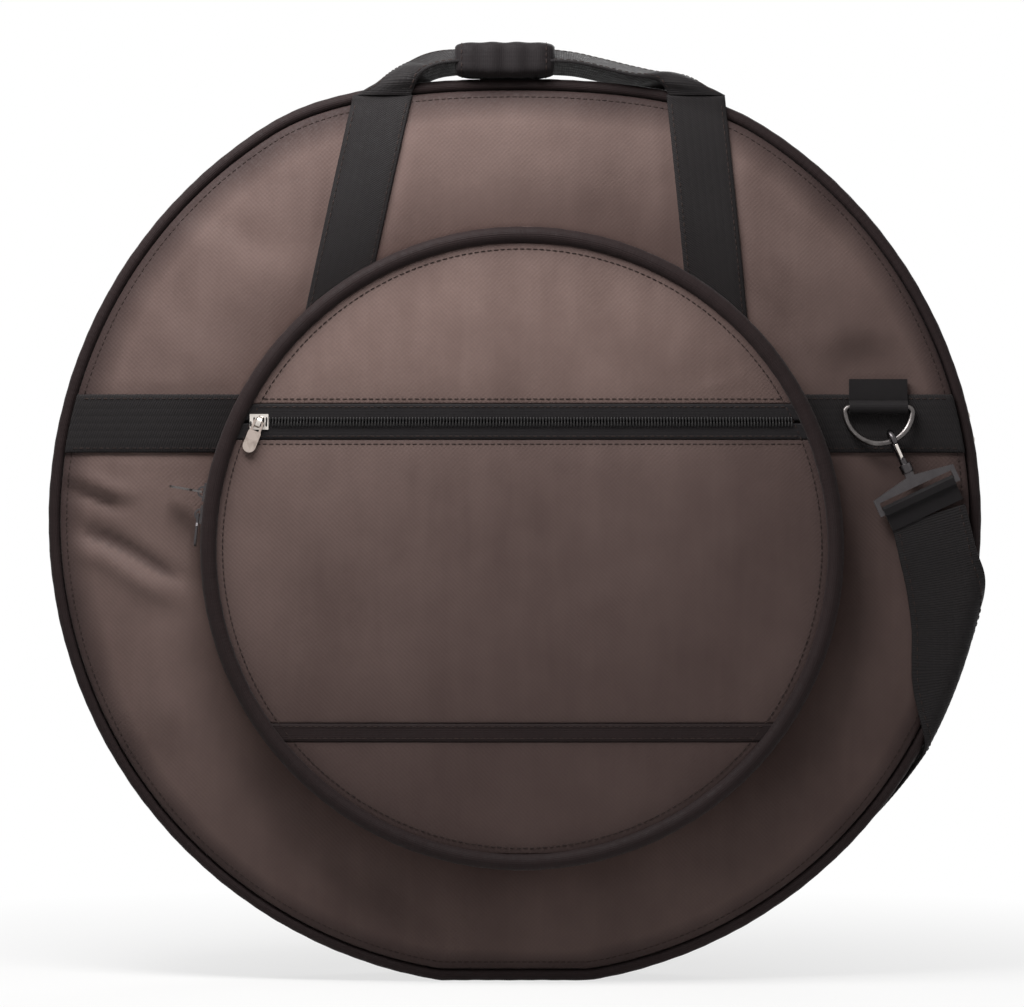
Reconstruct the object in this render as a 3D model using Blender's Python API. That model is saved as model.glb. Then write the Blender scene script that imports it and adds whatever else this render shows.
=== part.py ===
"""Round padded cymbal bag, standing on its rim with its pocket to the front.

Lengths are in metres. The model's origin is in the middle of the flat base, +Z is up, +X is to the right
seen from the front, and the front faces -Y. Round sheet parts are drawn as flat outlines in the bag's own
plane, around the middle of the disc, and stood up; `front` is a height above that plane, towards the
viewer, so a part at front = f lies at y = -f.
"""
from math import acos, atan2, cos, hypot, pi, radians, sin, sqrt

import bmesh
import bpy
from mathutils import Matrix, Vector

# The disc
RIM_RADIUS = 0.305
BASE_SAG = 0.004          # how far the standing rim is pressed flat
TOP_SAG = 0.011           # how far the handles draw the top rim in
TOP_ROUNDING = 0.040      # blend between the drawn-in top and the circle
BASE_ROUNDING = 0.0005
RIM_STEPS = 96
CLEARANCE = 0.0003        # between sewn pieces that touch
CENTRE_HEIGHT = RIM_RADIUS - BASE_SAG

# Layers of the two big panels
HALF_DEPTH = 0.0375       # middle of the bag to the outer face of each panel
SKIN = 0.0020
PADDING = 0.0060
PIPING_RADIUS = 0.0040
WEBBING = 0.0020          # thickness of every sewn strap
WEBBING_WIDTH = 0.038

# Gusset and its zip
GUSSET_INSET = 0.0025     # the gusset lies this far inside the piping's edge
GUSSET_THICKNESS = 0.0030
ZIP_GAP = 0.0016          # between the two rows of teeth
TEETH_WIDTH = 0.0029
TEETH_INSET = 0.0022
TEETH_HEIGHT = 0.0028
ZIP_STEPS = 41            # rim steps from the top to each end of the main zip
DIVIDER_INSET = 0.0092
DIVIDER_THICKNESS = 0.0074
DIVIDER_FOOT = GUSSET_INSET + GUSSET_THICKNESS + CLEARANCE

# Round pocket on the front
POCKET_RADIUS = 0.208
POCKET_SIDE = 0.0047      # its middle, right of the disc's middle
POCKET_DROP = 0.0182      # and below it
POCKET_DEPTH = 0.030      # panel to the pocket's back layer
POCKET_STEPS = 72
POCKET_ZIP_STEPS = 30     # steps from the pocket's top to each end of its zip
POCKET_ZIP_LEVEL = 0.0137 # height of the zip above the panel
BINDING_RADIUS = 0.0055
FACE_SPACE = 0.0040       # between the pocket's back layer and the flat pouch in front of it
FACE_SKIN = 0.0015

# Zip and tape across the pocket's face, heights above the disc's middle
FACE_ZIP_HEIGHT = 0.0635
FACE_ZIP_WIDTH = 0.023
FACE_ZIP_SPARE = 0.0009   # from its resting slider to the pocket's edge
TAPE_HEIGHT = -0.137
TAPE_WIDTH = 0.0115

# Webbing on the front and back
BAND_HEIGHT = 0.063
STRAP_LEFT_FOOT = -0.1143
STRAP_LEFT_LEAN = 0.2208  # sideways run for each metre up
STRAP_RIGHT_FOOT = 0.1308
STRAP_RIGHT_LEAN = -0.1000
STRAP_FOOT_HEIGHT = 0.150
BACK_STRAP_FOOT = -0.160

# Carrying handles
HANDLE_BELOW_RIM = 0.0265 # the line they fold about
HANDLE_HINGE = RIM_RADIUS - HANDLE_BELOW_RIM
HANDLE_TURN_LEFT = (0.0110, 0.0200)     # heights above it between which its webbing turns edge-on
HANDLE_TURN_RIGHT = (0.0130, 0.0205)
HANDLE_RISE = 0.0240
HANDLE_FOOT_SHARE = 0.35   # of its thickness, below the line
HANDLE_TOP = HANDLE_HINGE + HANDLE_RISE
HANDLE_REST = 0.0300      # how far in front of the middle the loop hangs over the rim
HANDLE_TILT = radians(17)
GRIP_LEFT = -0.039
GRIP_RIGHT = 0.026
GRIP_DEPTH = 0.043
GRIP_HEIGHT = 0.0222
GRIP_CROWN_SHARE = 0.43   # of its height, above the webbing in it
GRIP_ROUNDING = 0.007
GRIP_SLACK = 0.0006

# Strap hardware, which is the same at both ends of the shoulder strap
TAB_WIDTH = 0.038
TAB_RISE = 0.0185         # above the ring's bar
TAB_WALL = 0.0018
RING_WIRE = 0.0020
RING_PLAY = 0.0006
RING_HALF_WIDTH = 0.022
RING_SHOULDER = 0.002
RING_OFF_POCKET = 0.0243  # from the pocket's side to its middle
RING_HEIGHT = 0.0735
RING_TILT = radians(10)
HOOK_WIRE = 0.0022
HOOK_PLAY = 0.0012
SHANK_LENGTH = 0.0230
COLLAR_RADIUS = 0.0042
GATE_RADIUS = 0.0014
EYE_THICKNESS = 0.0040
STRAP_WIDTH = 0.050
STRAP_THICKNESS = 0.0018
HOOK_TIP = 0.0020         # the bow's open end, below the ring's wire
GATE_FOOT_SHARES = (0.63, 0.53)   # of the bow's radius and the shank's length
EYE_WALL = 0.0030
EYE_PLAY = 0.0006
EYE_STEM = 0.0025
EYE_STEM_SHARE = 0.7      # half its width, of the collar's radius
EYE_SHOULDER = 0.0045
EYE_SLOT = 0.0056
END_TAIL = 0.0116         # the strap's sewn end below the eye
FRONT_LEAN = radians(25)
BACK_LEAN = radians(-20)

# Shoulder strap, from the front hook round the right-hand rim to the back hook
STRAP_OFF_RIM = 0.0075
STRAP_LEAD = 0.014        # straight length at each end
STRAP_OVER_RIM = (0.2850, -0.0440, -0.0400)
STRAP_WRAP = (            # angle from the top in degrees, place in depth, turn of its face
    (103, -0.0400, radians(45)),
    (110, -0.0200, radians(10)),
    (118, 0.0000, 0),
    (126, 0.0200, radians(10)),
    (133, 0.0405, radians(45)),
)
STRAP_BEHIND = (
    (0.185, 0.0450, -0.225),
    (0.100, 0.0500, -0.238),
    (0.000, 0.0530, -0.212),
    (-0.090, 0.0530, -0.150),
    (-0.160, 0.0510, -0.078),
)
ADJUSTER_SHARE = 0.74     # its place along the strap
ADJUSTER_LENGTH = 0.030

# Zip sliders and pulls
SLIDER_LENGTH = 0.0120
SLIDER_WIDTH = 0.0100
SLIDER_PLATE = 0.0014
SLIDER_DEPTH = GUSSET_INSET + GUSSET_THICKNESS - TEETH_INSET + 2 * CLEARANCE
SLIDER_NECK = 0.0010
LOWER_PLATE_SHARE = 0.8       # of the upper plate's width
CROWN_HEIGHT = 0.0040
CROWN_WIDTH = 0.0030
CROWN_LENGTH = 0.0080
CROWN_WALL = 0.0013
MAIN_SLIDER_LEFT = radians(77)    # parked places, clockwise from the top
MAIN_SLIDER_RIGHT = radians(80)
POCKET_SLIDER_UPPER = radians(280)
POCKET_SLIDER_LOWER = radians(276)
FACE_PULL_TURN = radians(-112)    # its loose pull hangs down and to the left
PULL_LENGTH = 0.0210
PULL_WIDTH = 0.0085
PULL_THICKNESS = 0.0014
PULL_EYE = 0.0056

# Linear colour, roughness and metallic value of each finish
FINISHES = {
    "nylon": ((0.115, 0.087, 0.077, 1), 0.75, 0.0),
    "webbing": ((0.012, 0.011, 0.011, 1), 0.80, 0.0),
    "binding": ((0.021, 0.013, 0.013, 1), 0.70, 0.0),
    "foam": ((0.080, 0.075, 0.070, 1), 0.95, 0.0),
    "coil": ((0.010, 0.010, 0.010, 1), 0.45, 0.0),
    "nickel": ((0.560, 0.530, 0.500, 1), 0.28, 1.0),
    "dark_metal": ((0.045, 0.045, 0.048, 1), 0.35, 0.9),
}

STAND_UP = Matrix.Rotation(pi / 2, 4, "X")
SIDE_ON = Matrix.Rotation(-pi / 2, 4, "Z") @ STAND_UP    # a side view, its x towards the viewer


def clear_scene():
    for old in list(bpy.data.objects):
        bpy.data.objects.remove(old)


def collection(name):
    made = bpy.data.collections.new(name)
    bpy.context.scene.collection.children.link(made)
    return made


def finish(obj, kind):
    """Give the object its own Principled material."""
    colour, rough, metal = FINISHES[kind]
    made = bpy.data.materials.new(obj.name)
    made.use_nodes = True
    shader = made.node_tree.nodes["Principled BSDF"]
    shader.inputs["Base Color"].default_value = colour
    shader.inputs["Roughness"].default_value = rough
    shader.inputs["Metallic"].default_value = metal
    obj.data.materials.clear()
    obj.data.materials.append(made)
    return obj


def add(name, data, kind, place=Matrix(), parent=None):
    """Link an object into the bag; place is its matrix in the parent's frame."""
    obj = bpy.data.objects.new(name, data)
    BAG.objects.link(obj)
    if parent:
        obj.parent = parent
    obj.matrix_basis = place
    return finish(obj, kind)


def pivot(name, place, parent=None):
    """An empty on a joint's axis."""
    empty = bpy.data.objects.new(name, None)
    empty.empty_display_size = SLIDER_LENGTH
    BAG.objects.link(empty)
    if parent:
        empty.parent = parent
    empty.matrix_basis = place
    return empty


def outline_curve(name, loops, thickness):
    """A flat filled curve with an even thickness; loops after the first are holes."""
    curve = bpy.data.curves.new(name, "CURVE")
    curve.dimensions = "2D"
    curve.fill_mode = "BOTH"
    curve.extrude = thickness / 2
    for loop in loops:
        spline = curve.splines.new("POLY")
        spline.points.add(len(loop) - 1)
        spline.use_cyclic_u = True
        for point, (x, y) in zip(spline.points, loop):
            point.co = (x, y, 0, 1)
    return curve


def sheet(name, loops, back, front, kind, parent):
    """A flat part in the bag's plane, from front height `back` to `front`, in the bag's frame."""
    place = Matrix.Translation((0, -(back + front) / 2, 0)) @ STAND_UP
    return add(name, outline_curve(name, loops, front - back), kind, in_frame(parent, place), parent)


def in_frame(parent, place):
    """A place given from the disc's middle, turned into the parent's frame."""
    if parent is None:
        return MIDDLE @ place
    return world_of(parent).inverted() @ MIDDLE @ place


def world_of(obj):
    return world_of(obj.parent) @ obj.matrix_basis if obj.parent else obj.matrix_basis.copy()


def tube(name, points, radius, kind, place, parent, cyclic=False, shares=None, sides=2):
    """A round bar along the points; shares widen or narrow it at each point."""
    curve = bpy.data.curves.new(name, "CURVE")
    curve.dimensions = "3D"
    curve.bevel_depth = radius
    curve.bevel_resolution = sides
    curve.use_fill_caps = not cyclic
    spline = curve.splines.new("POLY")
    spline.points.add(len(points) - 1)
    spline.use_cyclic_u = cyclic
    for i, (point, co) in enumerate(zip(spline.points, points)):
        point.co = (*co, 1)
        point.radius = shares[i] if shares else 1
    return add(name, curve, kind, place, parent)


def smooth_least(a, b, blend):
    near = max(blend - abs(a - b), 0) / blend
    return min(a, b) - near * near * blend / 4


def rim_point(angle, inset, base_inset=None):
    """A point of the bag's outline at an angle from its top, clockwise, moved in by inset."""
    radius = RIM_RADIUS - inset
    if cos(angle) > 0.1:
        flat = (RIM_RADIUS - TOP_SAG - inset) / cos(angle)
        radius = smooth_least(radius, flat, TOP_ROUNDING)
    if cos(angle) < -0.1:
        rest = inset if base_inset is None else base_inset
        flat = (RIM_RADIUS - BASE_SAG - rest) / -cos(angle)
        radius = smooth_least(radius, flat, BASE_ROUNDING)
    return radius * sin(angle), radius * cos(angle)


def rim_loop(inset, base_inset=None):
    return [rim_point(2 * pi * i / RIM_STEPS, inset, base_inset) for i in range(RIM_STEPS)]


def rim_arc(first, last, outer, inner, outer_base=None):
    """A strip along the rim between two step numbers."""
    angles = [2 * pi * i / RIM_STEPS for i in range(first, last + 1)]
    out = [rim_point(a, outer, outer_base) for a in angles]
    return out + [rim_point(a, inner) for a in reversed(angles)]


def pocket_point(angle, radius):
    return POCKET_SIDE + radius * sin(angle), -POCKET_DROP + radius * cos(angle)


def pocket_loop(radius):
    return [pocket_point(2 * pi * i / POCKET_STEPS, radius) for i in range(POCKET_STEPS)]


def pocket_arc(first, last, outer, inner):
    angles = [2 * pi * i / POCKET_STEPS for i in range(first, last + 1)]
    out = [pocket_point(a, outer) for a in angles]
    return out + [pocket_point(a, inner) for a in reversed(angles)]


def pocket_slice(radius, low, high, steps=24):
    """The part of the pocket's face between two heights above the disc's middle."""
    top = min(high + POCKET_DROP, radius)
    bottom = max(low + POCKET_DROP, -radius)
    first, last = acos(top / radius), acos(bottom / radius)
    turn = [first + (last - first) * i / steps for i in range(steps + 1)]
    right = [pocket_point(a, radius) for a in turn]
    left = [pocket_point(-a, radius) for a in reversed(turn)]
    loop = right + left
    return [p for i, p in enumerate(loop) if (Vector(p) - Vector(loop[i - 1])).length > CLEARANCE]


def inside_rim(point, inset):
    x, y = point
    edge = Vector(rim_point(atan2(x, y), inset))
    return Vector(point).length < edge.length


def outside_pocket(point):
    x, y = point[0] - POCKET_SIDE, point[1] + POCKET_DROP
    return sqrt(x * x + y * y) > POCKET_RADIUS + CLEARANCE


def run_to(start, direction, keeps_on):
    """The furthest point along a direction at which keeps_on is still true."""
    low, high = 0.0, 2 * RIM_RADIUS
    for _ in range(40):
        half = (low + high) / 2
        here = (start[0] + direction[0] * half, start[1] + direction[1] * half)
        low, high = (half, high) if keeps_on(here) else (low, half)
    return start[0] + direction[0] * low, start[1] + direction[1] * low


def across(count=5):
    """Places across a strap's width, from edge to edge."""
    return [WEBBING_WIDTH * (i / (count - 1) - 0.5) for i in range(count)]


def shell_half(side, parent):
    """One half of the bag's wall: +1 is the back, -1 the front, which carries the pocket."""
    word = "rear" if side > 0 else "front"
    panel = "back_panel" if side > 0 else "front_panel"

    def layer(name, loops, out, inner, kind):
        low, high = sorted((-side * out, -side * inner))
        return sheet(name, loops, low, high, kind, parent)

    edge = 2 * PIPING_RADIUS + CLEARANCE
    layer(panel, [rim_loop(edge)], HALF_DEPTH, HALF_DEPTH - SKIN, "nylon")
    foam = HALF_DEPTH - SKIN - CLEARANCE
    layer(word + "_padding", [rim_loop(edge)], foam, foam - PADDING, "foam")
    inner = GUSSET_INSET + GUSSET_THICKNESS
    gusset_edge = HALF_DEPTH - 2 * PIPING_RADIUS - CLEARANCE
    zip_edge = ZIP_GAP / 2 + TEETH_WIDTH + CLEARANCE
    loops = [rim_loop(GUSSET_INSET, 0), rim_loop(inner)]
    layer("gusset_" + word, loops, gusset_edge, zip_edge, "nylon")
    teeth = rim_arc(-ZIP_STEPS, ZIP_STEPS, TEETH_INSET, TEETH_INSET + TEETH_HEIGHT)
    layer("zip_teeth_" + word, [teeth], zip_edge - CLEARANCE, ZIP_GAP / 2, "coil")
    points = [(x, y, 0) for x, y in rim_loop(PIPING_RADIUS)]
    place = Matrix.Translation((0, side * (HALF_DEPTH - PIPING_RADIUS), 0)) @ STAND_UP
    tube("piping_" + word, points, PIPING_RADIUS, "binding", in_frame(parent, place), parent, True)


def hinge_panel(parent):
    """The cloth that joins the two halves under the bag, where the zip stops."""
    first = ZIP_STEPS + 1
    half = ZIP_GAP / 2 + TEETH_WIDTH
    inner = GUSSET_INSET + GUSSET_THICKNESS
    strip = rim_arc(first, RIM_STEPS - first, GUSSET_INSET, inner, 0)
    sheet("bottom_panel", [strip], -half, half, "nylon", parent)


def divider(parent):
    """The padded leaf between the two halves, its foot seated on the fold under the bag."""
    half = DIVIDER_THICKNESS / 2
    sheet("divider", [rim_loop(DIVIDER_INSET, DIVIDER_FOOT)], -half, half, "foam", parent)


def sewn_strap(name, foot, lean, front, parent, low=None, keeps_on=outside_pocket):
    """Webbing that runs up the panel to the handle's fold line, leaning sideways."""
    up = Vector((lean, 1)).normalized()
    side = Vector((up.y, -up.x))
    top = HANDLE_HINGE - hypot(WEBBING / 2, HANDLE_FOOT_SHARE * WEBBING) - CLEARANCE
    feet, heads = [], []
    for u in across():
        start = Vector((foot, STRAP_FOOT_HEIGHT)) + side * u
        high = start + up * ((top - start.y) / up.y)
        foot_point = start + up * ((low - start.y) / up.y) if low else run_to(high, -up, keeps_on)
        feet.append(tuple(foot_point))
        heads.append(tuple(high))
    sheet(name, [feet + heads[::-1]], *front, "webbing", parent)


def side_band(name, side, front, parent):
    """The level band of webbing between the pocket and the rim."""
    edge = 2 * PIPING_RADIUS
    inner, outer = [], []
    for u in across():
        y = BAND_HEIGHT + u
        outer.append(run_to((0, y), (side, 0), lambda p: inside_rim(p, edge)))
        inner.append(run_to(outer[-1], (-side, 0), outside_pocket))
    sheet(name, [inner + outer[::-1]], *front, "webbing", parent)


def back_band(front, parent):
    edge = 2 * PIPING_RADIUS
    ends = {s: [run_to((0, BAND_HEIGHT + u), (s, 0), lambda p: inside_rim(p, edge)) for u in across()]
            for s in (-1, 1)}
    sheet("back_band", [ends[1] + ends[-1][::-1]], *front, "webbing", parent)


def pocket(lid, cover):
    """The round pocket: a ring sewn to the panel, and a face that unzips from it."""
    panel = HALF_DEPTH + CLEARANCE
    zip_low = panel + POCKET_ZIP_LEVEL
    row = zip_low + TEETH_WIDTH + ZIP_GAP
    back = panel + POCKET_DEPTH
    wall = POCKET_RADIUS - GUSSET_THICKNESS
    outer_wall = POCKET_RADIUS - 2 * BINDING_RADIUS
    teeth_out = POCKET_RADIUS + CLEARANCE
    ring = [pocket_loop(POCKET_RADIUS), pocket_loop(wall)]
    sheet("pocket_gusset_inner", ring, panel, zip_low - CLEARANCE, "nylon", lid)
    arc = (-POCKET_ZIP_STEPS, POCKET_ZIP_STEPS, teeth_out, teeth_out - TEETH_HEIGHT)
    sheet("pocket_teeth_inner", [pocket_arc(*arc)], zip_low, zip_low + TEETH_WIDTH, "coil", lid)
    sheet("pocket_teeth_outer", [pocket_arc(*arc)], row, row + TEETH_WIDTH, "coil", cover)
    first = POCKET_ZIP_STEPS + 1
    strip = pocket_arc(first, POCKET_STEPS - first, POCKET_RADIUS, wall)
    sheet("pocket_hinge_strip", [strip], zip_low, row + TEETH_WIDTH, "nylon", lid)
    rim = row + TEETH_WIDTH + CLEARANCE
    sheet("pocket_gusset_outer", ring, rim, back - CLEARANCE, "nylon", cover)
    sheet("pocket_face", [pocket_loop(POCKET_RADIUS)], back, back + SKIN, "nylon", cover)
    level = back + SKIN + CLEARANCE + BINDING_RADIUS
    points = [(x, y, 0) for x, y in pocket_loop(POCKET_RADIUS - BINDING_RADIUS)]
    place = Matrix.Translation((0, -level, 0)) @ STAND_UP
    tube("pocket_binding", points, BINDING_RADIUS, "binding", in_frame(cover, place), cover, True)
    face_layers(back + SKIN + FACE_SPACE, outer_wall - CLEARANCE, cover)


def face_layers(low, radius, cover):
    """The layer in front of the pocket's face: a flat pouch between a zip and a tape."""
    layer = (low, low + FACE_SKIN)
    zip_top = FACE_ZIP_HEIGHT + FACE_ZIP_WIDTH / 2
    zip_foot = FACE_ZIP_HEIGHT - FACE_ZIP_WIDTH / 2
    tape_top = TAPE_HEIGHT + TAPE_WIDTH / 2
    tape_foot = TAPE_HEIGHT - TAPE_WIDTH / 2
    slices = (
        ("face_upper", zip_top + CLEARANCE, radius, "nylon"),
        ("face_zip_upper", FACE_ZIP_HEIGHT + ZIP_GAP / 2, zip_top, "webbing"),
        ("face_zip_lower", zip_foot, FACE_ZIP_HEIGHT - ZIP_GAP / 2, "webbing"),
        ("pouch_panel", tape_top + CLEARANCE, zip_foot - CLEARANCE, "nylon"),
        ("seam_tape", tape_foot, tape_top, "binding"),
        ("face_lower", -radius, tape_foot - CLEARANCE, "nylon"),
    )
    for name, foot, top, kind in slices:
        sheet(name, [pocket_slice(radius, foot, top)], *layer, kind, cover)


def handle_route():
    """The loop's middle line from the left strap to the right one, seen from the front."""
    left = STRAP_LEFT_FOOT + STRAP_LEFT_LEAN * (HANDLE_HINGE - STRAP_FOOT_HEIGHT)
    right = STRAP_RIGHT_FOOT + STRAP_RIGHT_LEAN * (HANDLE_HINGE - STRAP_FOOT_HEIGHT)
    rise = HANDLE_TOP - HANDLE_HINGE
    low = WEBBING_WIDTH / 2
    left_shares = ((0, 0), (0.07, 0.20), (0.16, 0.48), (0.38, 0.76), (0.68, 0.95), (0.86, 1.0))
    right_shares = ((0, 0), (0.03, 0.12), (0.10, 0.30), (0.28, 0.55), (0.60, 0.86), (0.88, 1.0))
    reach = (GRIP_LEFT - left, GRIP_RIGHT - right)
    out = [(left - STRAP_LEFT_LEAN * low, HANDLE_HINGE - low)]
    out += [(left + reach[0] * a, HANDLE_HINGE + rise * b) for a, b in left_shares]
    back = [(right - STRAP_RIGHT_LEAN * low, HANDLE_HINGE - low)]
    back += [(right + reach[1] * a, HANDLE_HINGE + rise * b) for a, b in right_shares]
    middle = [(GRIP_LEFT, HANDLE_TOP), (GRIP_RIGHT, HANDLE_TOP)]
    return out + middle + back[::-1]


def smooth_path(points, steps, spaced_as=None):
    """Points spread along a smooth curve through the given ones, however uneven their spacing."""
    p = [Vector(q) for q in points]
    knots = [Vector(q) for q in spaced_as] if spaced_as else p
    spans = [(b - a).length for a, b in zip(knots, knots[1:])]
    slopes = [(b - a) / h for a, b, h in zip(p, p[1:], spans)]
    bends = [slopes[0]]
    for i in range(1, len(slopes)):
        h, k = spans[i - 1], spans[i]
        bends.append((slopes[i - 1] * k + slopes[i] * h) / (h + k))
    bends.append(slopes[-1])
    out = []
    for i, h in enumerate(spans):
        for step in range(steps):
            t = step / steps
            a, b = p[i], p[i + 1]
            ends = a + (b - a) * (t * t * (3 - 2 * t))
            out.append(ends + bends[i] * (h * t * (1 - t) ** 2) - bends[i + 1] * (h * t * t * (1 - t)))
    return out + [p[-1]]


def ribbon_mesh(name, rings):
    """Webbing lofted through four-cornered sections that turn along its length."""
    mesh = bpy.data.meshes.new(name)
    bm = bmesh.new()
    rows = [[bm.verts.new(corner) for corner in ring] for ring in rings]
    for a, b in zip(rows, rows[1:]):
        for i in range(4):
            j = (i + 1) % 4
            if (a[i].co - b[j].co).length < (a[j].co - b[i].co).length:
                halves = ((a[i], a[j], b[j]), (a[i], b[j], b[i]))
            else:
                halves = ((a[i], a[j], b[i]), (a[j], b[j], b[i]))
            for tri in halves:
                bm.faces.new(tri)
    for row in (rows[0], rows[-1]):
        bm.faces.new(row)
    bmesh.ops.recalc_face_normals(bm, faces=bm.faces)
    bm.to_mesh(mesh)
    bm.free()
    return mesh


def section(middle, across_axis, out_axis, width, thickness):
    w, t = across_axis * width / 2, out_axis * thickness / 2
    return [middle - w - t, middle + w - t, middle + w + t, middle - w + t]


def handle(name, side, parent):
    """A webbing loop that stands over the rim, turning from flat to edge-on at its top.

    Drawn in the hinge's frame: x sideways, y away from the viewer, z up. side -1 is the front.
    """
    route = smooth_path(handle_route(), 4)
    hang = side * HANDLE_REST - side * (HALF_DEPTH + CLEARANCE + WEBBING / 2)
    rings = []
    for i, point in enumerate(route):
        ahead, behind = route[min(i + 1, len(route) - 1)], route[max(i - 1, 0)]
        along = Vector((ahead.x - behind.x, 0, ahead.y - behind.y)).normalized()
        in_left = i < len(route) / 2
        low, high = HANDLE_TURN_LEFT if in_left else HANDLE_TURN_RIGHT
        share = min(1, max(0, (point.y - HANDLE_HINGE - low) / (high - low)))
        turn = (pi / 2 - HANDLE_TILT) * share * share * (3 - 2 * share)
        level = Vector((1 if in_left else -1, 0, 0))
        inward = level.lerp(Vector((along.z, 0, -along.x)), share)
        wide = inward * cos(turn) + Vector((0, side, 0)) * sin(turn)
        wide = (wide - along * wide.dot(along)).normalized()
        middle = Vector((point.x, hang * sin(turn), point.y - HANDLE_HINGE))
        rings.append(section(middle, wide, along.cross(wide), WEBBING_WIDTH, WEBBING))
    mesh = ribbon_mesh(name, rings)
    cut_below(mesh, -HANDLE_FOOT_SHARE * WEBBING)
    return add(name, mesh, "webbing", Matrix(), parent)


def cut_below(mesh, height):
    """Trim a mesh level at a height, and close the cut."""
    bm = bmesh.new()
    bm.from_mesh(mesh)
    everything = bm.verts[:] + bm.edges[:] + bm.faces[:]
    bmesh.ops.bisect_plane(bm, geom=everything, plane_co=(0, 0, height), plane_no=(0, 0, 1), clear_inner=True)
    bmesh.ops.holes_fill(bm, edges=bm.edges)
    bmesh.ops.recalc_face_normals(bm, faces=bm.faces)
    bm.to_mesh(mesh)
    bm.free()


def grip(parent):
    """The padded wrap round the front loop: a rounded sleeve with a slot for the webbing."""
    half_depth = GRIP_DEPTH / 2
    top = GRIP_HEIGHT * GRIP_CROWN_SHARE
    foot = top - GRIP_HEIGHT
    corners = ((half_depth, top), (-half_depth, top), (-half_depth, foot), (half_depth, foot))
    loop = []
    for i, (x, y) in enumerate(corners):
        cx = x - GRIP_ROUNDING if x > 0 else x + GRIP_ROUNDING
        cy = y - GRIP_ROUNDING if y > 0 else y + GRIP_ROUNDING
        for k in range(6):
            a = pi / 2 * (i + k / 5)
            loop.append((cx + GRIP_ROUNDING * cos(a), cy + GRIP_ROUNDING * sin(a)))
    w, t = WEBBING_WIDTH / 2 + GRIP_SLACK, WEBBING / 2 + GRIP_SLACK
    turn = Matrix.Rotation(-HANDLE_TILT, 2)
    slot = [tuple(turn @ Vector(c)) for c in ((w, t), (-w, t), (-w, -t), (w, -t))]
    length = GRIP_RIGHT - GRIP_LEFT
    data = outline_curve("handle_grip", [loop, slot], length)
    depth = HALF_DEPTH + CLEARANCE + WEBBING / 2 - HANDLE_REST
    place = Matrix.Translation(((GRIP_LEFT + GRIP_RIGHT) / 2, depth, HANDLE_TOP - HANDLE_HINGE))
    return add("handle_grip", data, "webbing", place @ SIDE_ON, parent)


def tab(name, frame):
    """Webbing folded round the ring's bar, drawn from the side."""
    bore = RING_WIRE + RING_PLAY
    outer = bore + TAB_WALL
    turn = [pi - 2 * pi * i / 20 for i in range(20)]
    ring = [(outer * cos(a), outer * sin(a)) for a in turn if cos(a) > -0.9 or sin(a) < 0]
    loop = [(-outer, TAB_RISE), (TAB_WALL - outer, TAB_RISE), (TAB_WALL - outer, outer * 0.9)] + ring
    hole = [(bore * cos(a), bore * sin(a)) for a in turn]
    data = outline_curve(name, [loop, hole], TAB_WIDTH)
    return add(name, data, "webbing", Matrix.Translation(ring_bar()) @ SIDE_ON, frame)


def ring_bar():
    """Where the ring's straight bar runs, in the anchor's frame."""
    sewn = HALF_DEPTH + WEBBING + 2 * CLEARANCE
    place = POCKET_SIDE + POCKET_RADIUS + RING_OFF_POCKET
    return Vector((place, -(sewn + RING_WIRE + RING_PLAY + TAB_WALL), RING_HEIGHT))


def ring_route():
    """A D: a straight bar above half a circle."""
    corner = RING_SHOULDER
    bar = [(x, 0, 0) for x in (-RING_HALF_WIDTH + corner, 0, RING_HALF_WIDTH - corner)]
    steps = 18
    turn = [pi / 2 - pi * i / steps for i in range(steps + 1)]
    arc = [(RING_HALF_WIDTH * sin(a), 0, -corner - RING_HALF_WIDTH * cos(a)) for a in turn]
    return bar + arc


def hook_route():
    """The hook's bow round the ring, then its shank and collar, seen from the side."""
    bow = RING_WIRE + HOOK_PLAY + HOOK_WIRE
    turn = [pi * i / 8 for i in range(9)]
    points = [(0, -bow, -HOOK_TIP)] + [(0, -bow * cos(a), bow * sin(a)) for a in turn]
    shank_shares = ((-1, 0.24), (-0.85, 0.39), (-0.42, 0.53), (0, 0.64), (0, 0.74), (0, 0.75), (0, 1))
    points += [(0, -bow * d, -SHANK_LENGTH * z) for d, z in shank_shares]
    wide_shares = [1] * (len(points) - 4) + [1.1, 1.1] + [COLLAR_RADIUS / HOOK_WIRE] * 2
    return points, wide_shares


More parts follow.
